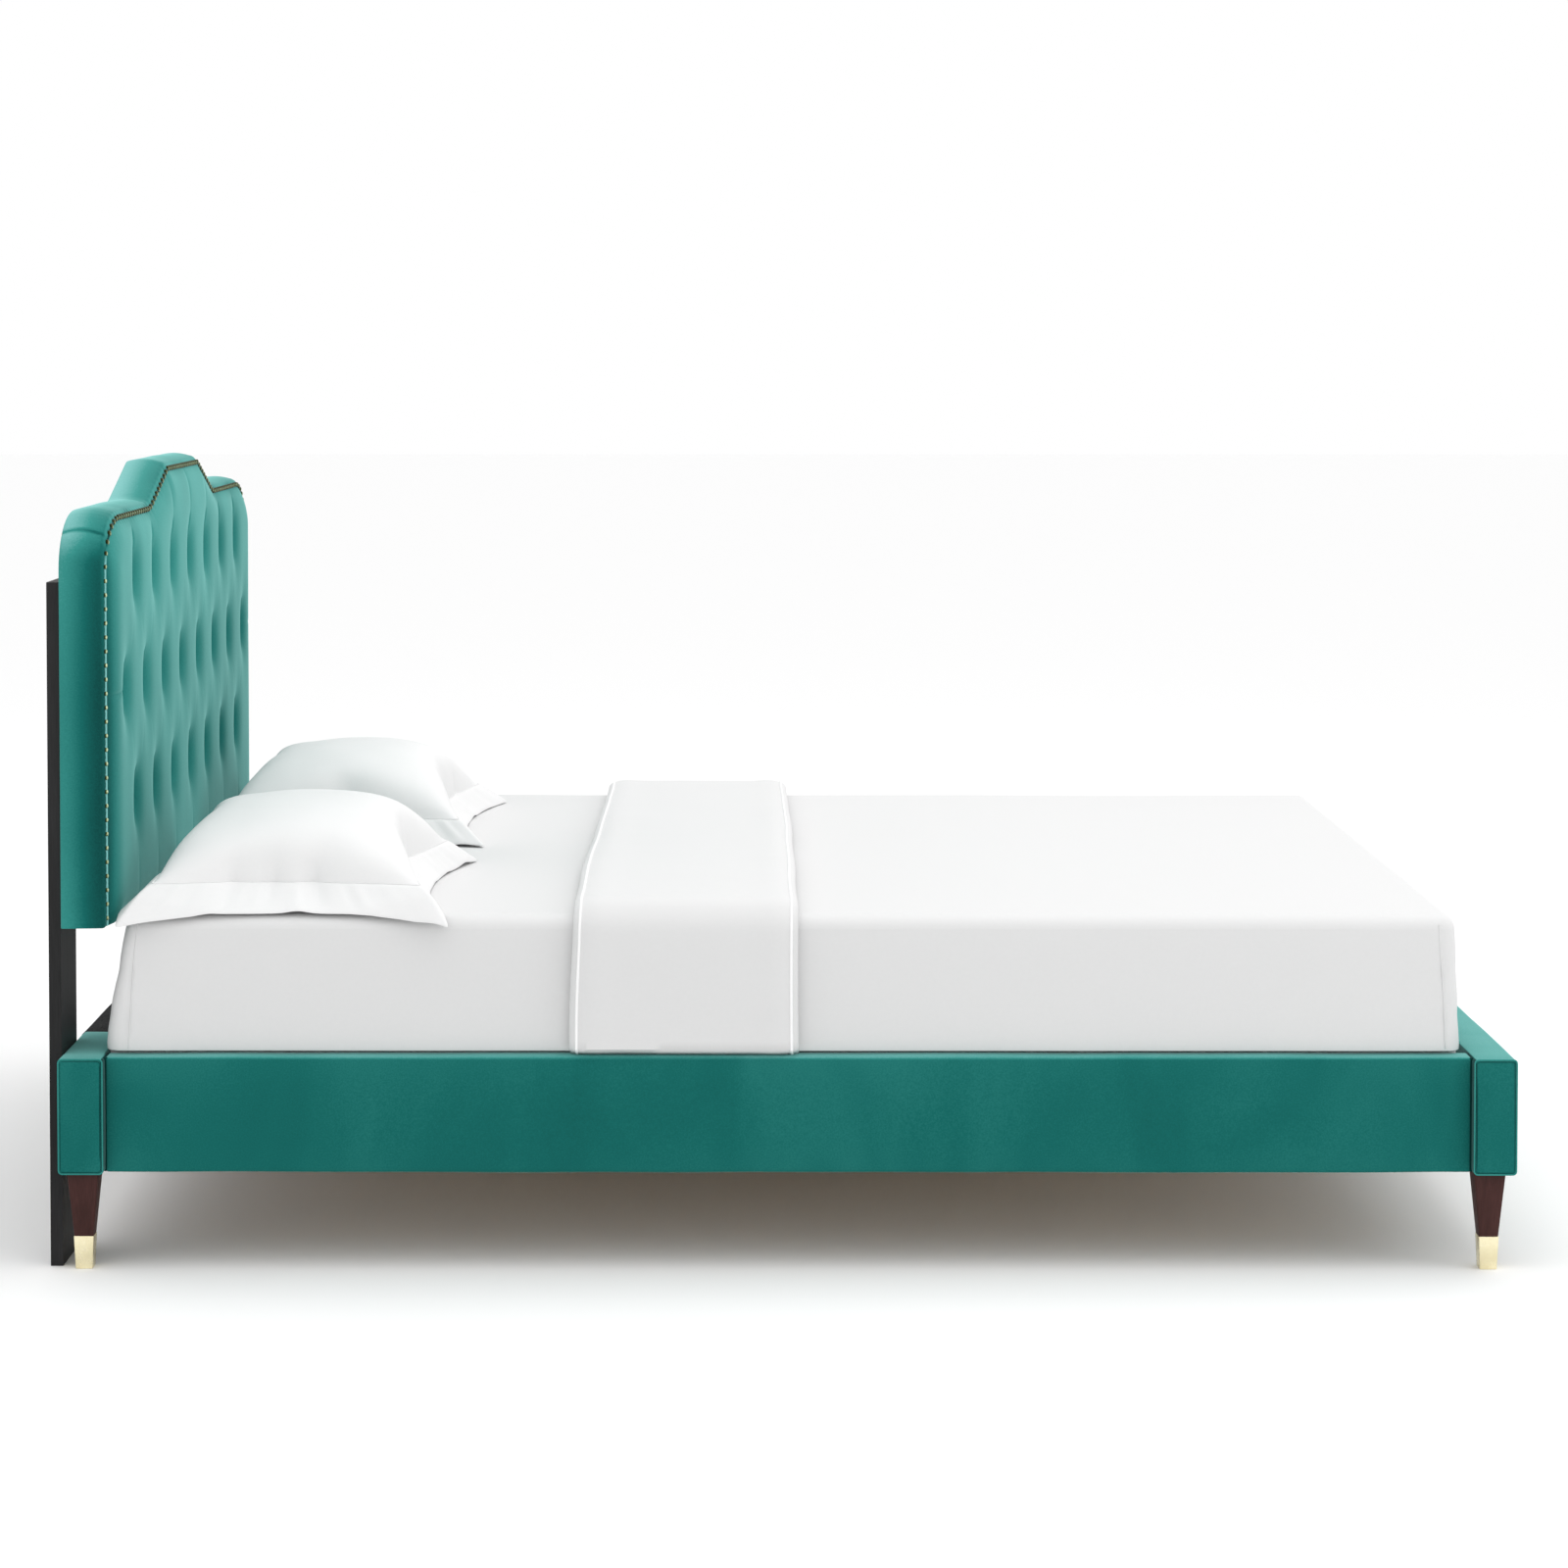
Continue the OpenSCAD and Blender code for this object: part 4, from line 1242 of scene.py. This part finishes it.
def inflate(bm, pressure):
    """Fills a closed cloth mesh with air by a cloth simulation, and gives its new places."""
    mesh = bpy.data.meshes.new("fill")
    bm.to_mesh(mesh)
    obj = linked("fill", mesh)
    scene = bpy.context.scene
    cloth = obj.modifiers.new("cloth", "CLOTH")
    cloth.settings.use_pressure = True
    cloth.settings.uniform_pressure_force = pressure
    cloth.settings.effector_weights.gravity = 0
    cloth.settings.quality = 6
    cloth.settings.mass = 0.25
    cloth.settings.tension_stiffness = 25
    cloth.settings.compression_stiffness = 12
    cloth.settings.shear_stiffness = 5
    cloth.settings.bending_stiffness = 0.6
    cloth.settings.tension_damping = 12
    cloth.point_cache.frame_start = 1
    cloth.point_cache.frame_end = FILL_FRAMES
    for step in range(1, FILL_FRAMES + 1):
        scene.frame_set(step)
    settled = obj.evaluated_get(bpy.context.evaluated_depsgraph_get())
    places = [v.co.copy() for v in settled.data.vertices]
    scene.frame_set(1)
    bpy.data.objects.remove(obj)
    bpy.data.meshes.remove(mesh)
    return places


def pillow_body(length, width, pressure):
    """A pillow at the origin, and the edges of its seam.

    The simulation gives the small part FILL_SHARE of its height, and a dome gives the rest.
    """
    def fullness(v, power):
        return max(0.0, (1 - (2 * v.co.x / length) ** power)
                   * (1 - (2 * v.co.y / width) ** power))

    bm = bmesh.new()
    bmesh.ops.create_grid(bm, x_segments=52, y_segments=62, size=0.5)
    bmesh.ops.scale(bm, vec=(length, width, 1), verts=bm.verts)
    under = bmesh.ops.duplicate(bm, geom=bm.faces[:])["geom"]
    bmesh.ops.reverse_faces(bm, faces=only(BMFace, under))
    for v in bm.verts:
        v.co.z = 0.012 * fullness(v, 2) ** 0.5
    for v in only(BMVert, under):
        v.co.z = -v.co.z
    bmesh.ops.remove_doubles(bm, verts=bm.verts, dist=1e-5)
    bm.verts.index_update()
    seam = {v for v in bm.verts if abs(v.co.z) < 1e-9}
    rim = [e for e in bm.edges if seam.issuperset(e.verts)
           and sum(f.normal.z > 0 for f in e.link_faces) == 1]
    plump = []
    for v in bm.verts:
        along = 2 * v.co.x / length - PILLOW_PEAK
        u = along / (1 - PILLOW_PEAK) if along > 0 else -along / (1 + PILLOW_PEAK)
        w = abs(2 * v.co.y / width)
        full = max(0.0, 1 - u ** 2.8) * max(0.0, 1 - w ** 2.8)
        plump.append(math.copysign(full ** 0.62, v.co.z))
    for v, place in zip(bm.verts, inflate(bm, pressure)):
        v.co = place
    inner = [v for v in bm.verts if v not in seam]
    for _ in range(20):
        bmesh.ops.smooth_vert(bm, verts=inner, factor=0.5, use_axis_x=True,
                              use_axis_y=True, use_axis_z=True)
    top = max(v.co.z for v in bm.verts)
    for v, full in zip(bm.verts, plump):
        v.co.z = v.co.z / top * FILL_SHARE + full * (1 - FILL_SHARE)
    return bm, rim


def make_pillow(look, low, high, seed):
    """A flanged pillow that lies on the mattress in the space between two corners."""
    length, width = high.x - low.x, high.y - low.y
    bm, rim = pillow_body(length - FLANGE_ROOM, width - FLANGE_ROOM, look.pressure)
    height = high.z - low.z
    # Height of the seam, how far the head side leans up, and the part of the length that does.
    base, rest_lean, rest_part = 0.041, 0.030, 0.35
    top = max(v.co.z for v in bm.verts)
    for v in bm.verts:
        share = v.co.z / top
        v.co.z = base + (share * (height - base) if share > 0 else base * math.tanh(share * 3))
    loop = boundary_loop(rim)
    flat = np.array([v.co[:2] for v in loop])
    target = flange_edge(flat, length, width)
    add_flange(bm, loop, flat, target, seed)
    middle = (low + high) / 2
    for v in bm.verts:
        x, y = v.co.x + middle.x, v.co.y + middle.y
        t = (x - low.x) / length
        lean = rest_lean * max(0.0, 1 - t / rest_part) ** 1.5 * ease(v.co.z, 0.0, base)
        lean *= ease(y, low.y + 0.02, low.y + 0.14)
        wrinkle = 0.0016 * noise.noise(Vector((x * 13, y * 13, seed + v.co.z * 9)))
        v.co = (x, y, max(0.0, v.co.z + wrinkle) + lean + pillow_seat(y))
    face_out(bm)
    return subdivided(bm)


def pillow_seat(y):
    """Height of the mattress under a pillow; past the mattress's edge the cloth hangs."""
    beyond = MATTRESS_LOW.y + 0.002 - y
    hang = 0.6 * beyond if beyond > 0 else 0.0
    return MATTRESS_HIGH.z + 0.0005 - hang


def flange_edge(flat, length, width):
    """Outer edge of the flange for each point of the seam: pointed corners, hollow sides."""
    count = len(flat)
    signs = ((-1, -1), (1, -1), (1, 1), (-1, 1))
    corners = [int(np.argmax(flat @ np.array(s))) for s in signs]
    if (corners[1] - corners[0]) % count > (corners[0] - corners[1]) % count:
        signs, corners = signs[::-1], corners[::-1]
    half = np.array([length, width]) / 2
    hollow = {(1, 0): 0.050, (-1, 0): 0.012, (0, 1): 0.040, (0, -1): 0.034}
    edge = np.zeros_like(flat)
    for k in range(4):
        start, end = corners[k], corners[(k + 1) % 4]
        steps = (end - start) % count
        a, b = half * signs[k], half * signs[(k + 1) % 4]
        side = tuple(int(v) for v in (np.array(signs[k]) + np.array(signs[(k + 1) % 4])) / 2)
        for i in range(steps):
            t = i / steps
            dip = hollow[side] * (1 - abs(2 * t - 1) ** 2.2)
            edge[(start + i) % count] = a + (b - a) * t - np.array(side) * dip
    return edge


def add_flange(bm, loop, flat, target, seed):
    """Adds the flat double border round a pillow's seam."""
    steps = 8
    lift, ripple, crease, thick = 0.003, 0.0065, 0.0045, 0.0022
    rings = [loop]
    for k in range(1, steps + 1):
        t = k / steps
        ring = []
        for i in range(len(loop)):
            x, y = flat[i] + (target[i] - flat[i]) * t
            wave = noise.noise(Vector((target[i, 0] * 21, target[i, 1] * 21, seed)))
            fold = noise.noise(Vector((target[i, 0] * 60, target[i, 1] * 60, seed + 3)))
            z = loop[i].co.z * (1 - t) + lift + ripple * t * max(0.0, wave)
            z += crease * fold * math.sin(math.pi * min(1.0, t * 1.1)) ** 0.5
            ring.append(bm.verts.new((x, y, z)))
        rings.append(ring)
    under = [bm.verts.new(v.co - Vector((0, 0, thick))) for v in rings[-1]]
    rings.append(under)
    skin(bm, rings)
    line = [v.co.lerp(w.co, 0.1) for v, w in zip(rings[0], rings[1])]
    sweep(bm, [p + Vector((0, 0, 0.0006)) for p in line], 0.0009, 5, closed=True)


class BED_OT_pillows(bpy.types.Operator):
    """Fill the two pillows and sew their flanges on"""

    bl_idname = "bed.pillows"
    bl_label = "Pillows"

    def execute(self, context):
        look = context.scene.bed_bedding
        # 0.93 greys the shams' upright sides: painted shade.
        sham = finish("pillow_linen", linen, SHAM, 0.93)
        for k, name in enumerate(("pillow_near", "pillow_far")):
            low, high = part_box(name)
            pillow = make_pillow(look, low, high, 3.0 + 5 * k)
            obj = piece(name.replace("pillow", "pillow_in_sham"), pillow, sham, name,
                        (name,), sharp=70)
        return {"FINISHED"}


class BED_OT_blanket(bpy.types.Operator):
    """Fold the blanket over the mattress"""

    bl_idname = "bed.blanket"
    bl_label = "Blanket"

    def execute(self, context):
        look = context.scene.bed_bedding
        low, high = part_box("blanket")
        bm, piping = folded_blanket(look, low, high)
        obj = piece("folded_blanket", bm, finish("bed_linen", linen, WHITE, 0.90), "blanket",
                    ("blanket",), sharp=70)
        piece("blanket_piping", piping, finish("piping", linen, PIPING), "blanket")
        return {"FINISHED"}


def blanket_path(low, high):
    """Line of the blanket's middle across the bed, as (y, z, ny, nz) from near to far."""
    mid = BLANKET_THICK / 2
    half = high.y - mid
    top = high.z - mid
    radius = BLANKET_TURN
    points = []
    turn_steps = 9
    drop = int((top - radius - low.z) / 0.012)
    for k in range(drop + 1):
        z = low.z + (top - radius - low.z) * k / drop
        points.append((-half, z, -1.0, 0.0))
    for k in range(1, turn_steps + 1):
        a = math.radians(180 - 10 * k)
        points.append((-half + radius + radius * math.cos(a),
                       top - radius + radius * math.sin(a), math.cos(a), math.sin(a)))
    across = 96
    for k in range(1, across):
        y = -half + radius + 2 * (half - radius) * k / across
        points.append((y, top, 0.0, 1.0))
    near_side = points[:drop + 1 + turn_steps]
    return points + [(-y, z, -ny, nz) for y, z, ny, nz in reversed(near_side)]


def folded_blanket(look, low, high):
    """A thick folded blanket with soft sides, and the piping of its edges."""
    width = high.x - low.x
    middle = (high.x + low.x) / 2
    path = blanket_path(low, high)
    section = blanket_section(width, BLANKET_THICK)
    bm = bmesh.new()
    rings = []
    for y, z, ny, nz in path:
        ring = []
        for along, out in section:
            p = Vector((middle + along, y + ny * out + side_bulge(y, z), z + nz * out))
            lump = noise.noise(p * 5.5) * 0.7 + noise.noise(p * 14) * 0.3
            swell = look.quilt * lump * (1 if out > 0 else 0.15)
            sway = 0.009 * noise.noise(Vector((3.0 if along > 0 else 8.0, p.y * 2.2, p.z * 4)))
            edge = abs(along) / (width / 2)
            p += Vector((sway * edge ** 3, ny * swell, nz * swell))
            ring.append(bm.verts.new(p))
        rings.append(ring)
    skin(bm, rings)
    bm.faces.new(rings[0])
    bm.faces.new(reversed(rings[-1]))
    piping = bmesh.new()
    inset = 5
    for edge in (inset, len(section) // 2 - inset):
        line = [ring[edge].co + Vector((0, ny, nz)) * 0.0006
                for ring, (y, z, ny, nz) in zip(rings, path)]
        sweep(piping, line, 0.0021, up=Vector((1, 0, 0)))
    for cloth in (bm, piping):
        face_out(cloth)
    return bm, piping


def blanket_section(width, thick):
    """The blanket's cross-section as (along the bed, out), fullest near its sides."""
    top, under = [], []
    steps = 44
    for k in range(1, steps):
        t = -math.cos(math.pi * k / steps)
        along = t * width / 2
        rim = max(0.0, 1 - abs(t) ** 14) ** 0.5
        puff = 1.0 + 0.14 * math.exp(-((abs(t) - 0.80) / 0.14) ** 2)
        top.append((along, thick / 2 * rim * puff - thick * 0.05))
        under.append((along, -thick / 2 + thick * 0.45 * (1 - rim)))
    fold = -thick * 0.03
    return [(-width / 2, fold), *top, (width / 2, fold), *under[::-1]]


# ---------------------------------------------------------------- stage


def lamp(name, size, energy, place, target):
    """Adds a square soft lamp that faces a point."""
    data = bpy.data.lights.new(name, "AREA")
    data.size = size
    data.energy = energy
    obj = linked(name, data)
    obj.location = place
    obj.rotation_euler = (Vector(target) - Vector(place)).to_track_quat("-Z", "Y").to_euler()


class BED_OT_stage(bpy.types.Operator):
    """Set up the floor, the lamps and the camera"""

    bl_idname = "bed.stage"
    bl_label = "Stage"

    def execute(self, context):
        scene = context.scene
        look = scene.bed_stage
        data = bpy.data.cameras.new("camera")
        data.lens = look.lens
        data.sensor_width = 36
        data.shift_x, data.shift_y = look.shift
        camera = linked("camera", data)
        camera.location = look.eye
        camera.rotation_euler = (math.pi / 2 - look.pitch, 0, look.yaw)
        scene.camera = camera
        grid = bmesh.new()
        bmesh.ops.create_grid(grid, x_segments=2, y_segments=2, size=40)
        floor = linked("floor", mesh_of("floor", grid))
        n = Nodes("floor")
        n.set(Base_Color=(0.98, 0.98, 0.98, 1), Roughness=0.9, Specular_IOR_Level=0.1)
        floor.data.materials.append(n.material)
        world = bpy.data.worlds.new("studio")
        world.use_nodes = True
        back = world.node_tree.nodes["Background"]
        back.inputs["Color"].default_value = (1, 1, 1, 1)
        back.inputs["Strength"].default_value = 1.0
        scene.world = world
        scene.view_settings.view_transform = "Standard"
        lamp("overhead", 5.0, 60, (0.6, -0.3, 4.6), (0, 0, 0.4))
        lamp("foot_side", 3.0, 30, (4.8, -2.4, 2.6), (-0.8, 0, 0.7))
        return {"FINISHED"}


# ---------------------------------------------------------------- add-on


class BED_PT_panel(bpy.types.Panel):
    """Lists the steps that make the bed"""

    bl_idname = "BED_PT_panel"
    bl_label = "Upholstered Bed"
    bl_space_type = "VIEW_3D"
    bl_region_type = "UI"
    bl_category = "Bed"

    def draw(self, context):
        for step in STEPS:
            self.layout.operator(step.bl_idname)
        for group, _ in SETTINGS:
            settings = getattr(context.scene, group)
            for name in settings.bl_rna.properties.keys():
                if name not in ("rna_type", "name"):
                    self.layout.prop(settings, name)


SETTINGS = (
    ("bed_velvet", VelvetSettings),
    ("bed_headboard", HeadboardSettings),
    ("bed_bedding", BeddingSettings),
    ("bed_stage", StageSettings),
)
STEPS = (
    BED_OT_frame_finishes,
    BED_OT_headboard_cover,
    BED_OT_headboard_trim,
    BED_OT_headboard_back,
    BED_OT_rails,
    BED_OT_legs,
    BED_OT_mattress,
    BED_OT_pillows,
    BED_OT_blanket,
    BED_OT_stage,
)


def register():
    for name, group in SETTINGS:
        bpy.utils.register_class(group)
        setattr(bpy.types.Scene, name, bpy.props.PointerProperty(type=group))
    for step in (*STEPS, BED_PT_panel):
        bpy.utils.register_class(step)


def unregister():
    for step in (BED_PT_panel, *reversed(STEPS)):
        bpy.utils.unregister_class(step)
    for name, group in reversed(SETTINGS):
        delattr(bpy.types.Scene, name)
        bpy.utils.unregister_class(group)


def main():
    register()
    for step in STEPS:
        group, name = step.bl_idname.split(".")
        getattr(getattr(bpy.ops, group), name)()


if __name__ == "__main__":
    main()
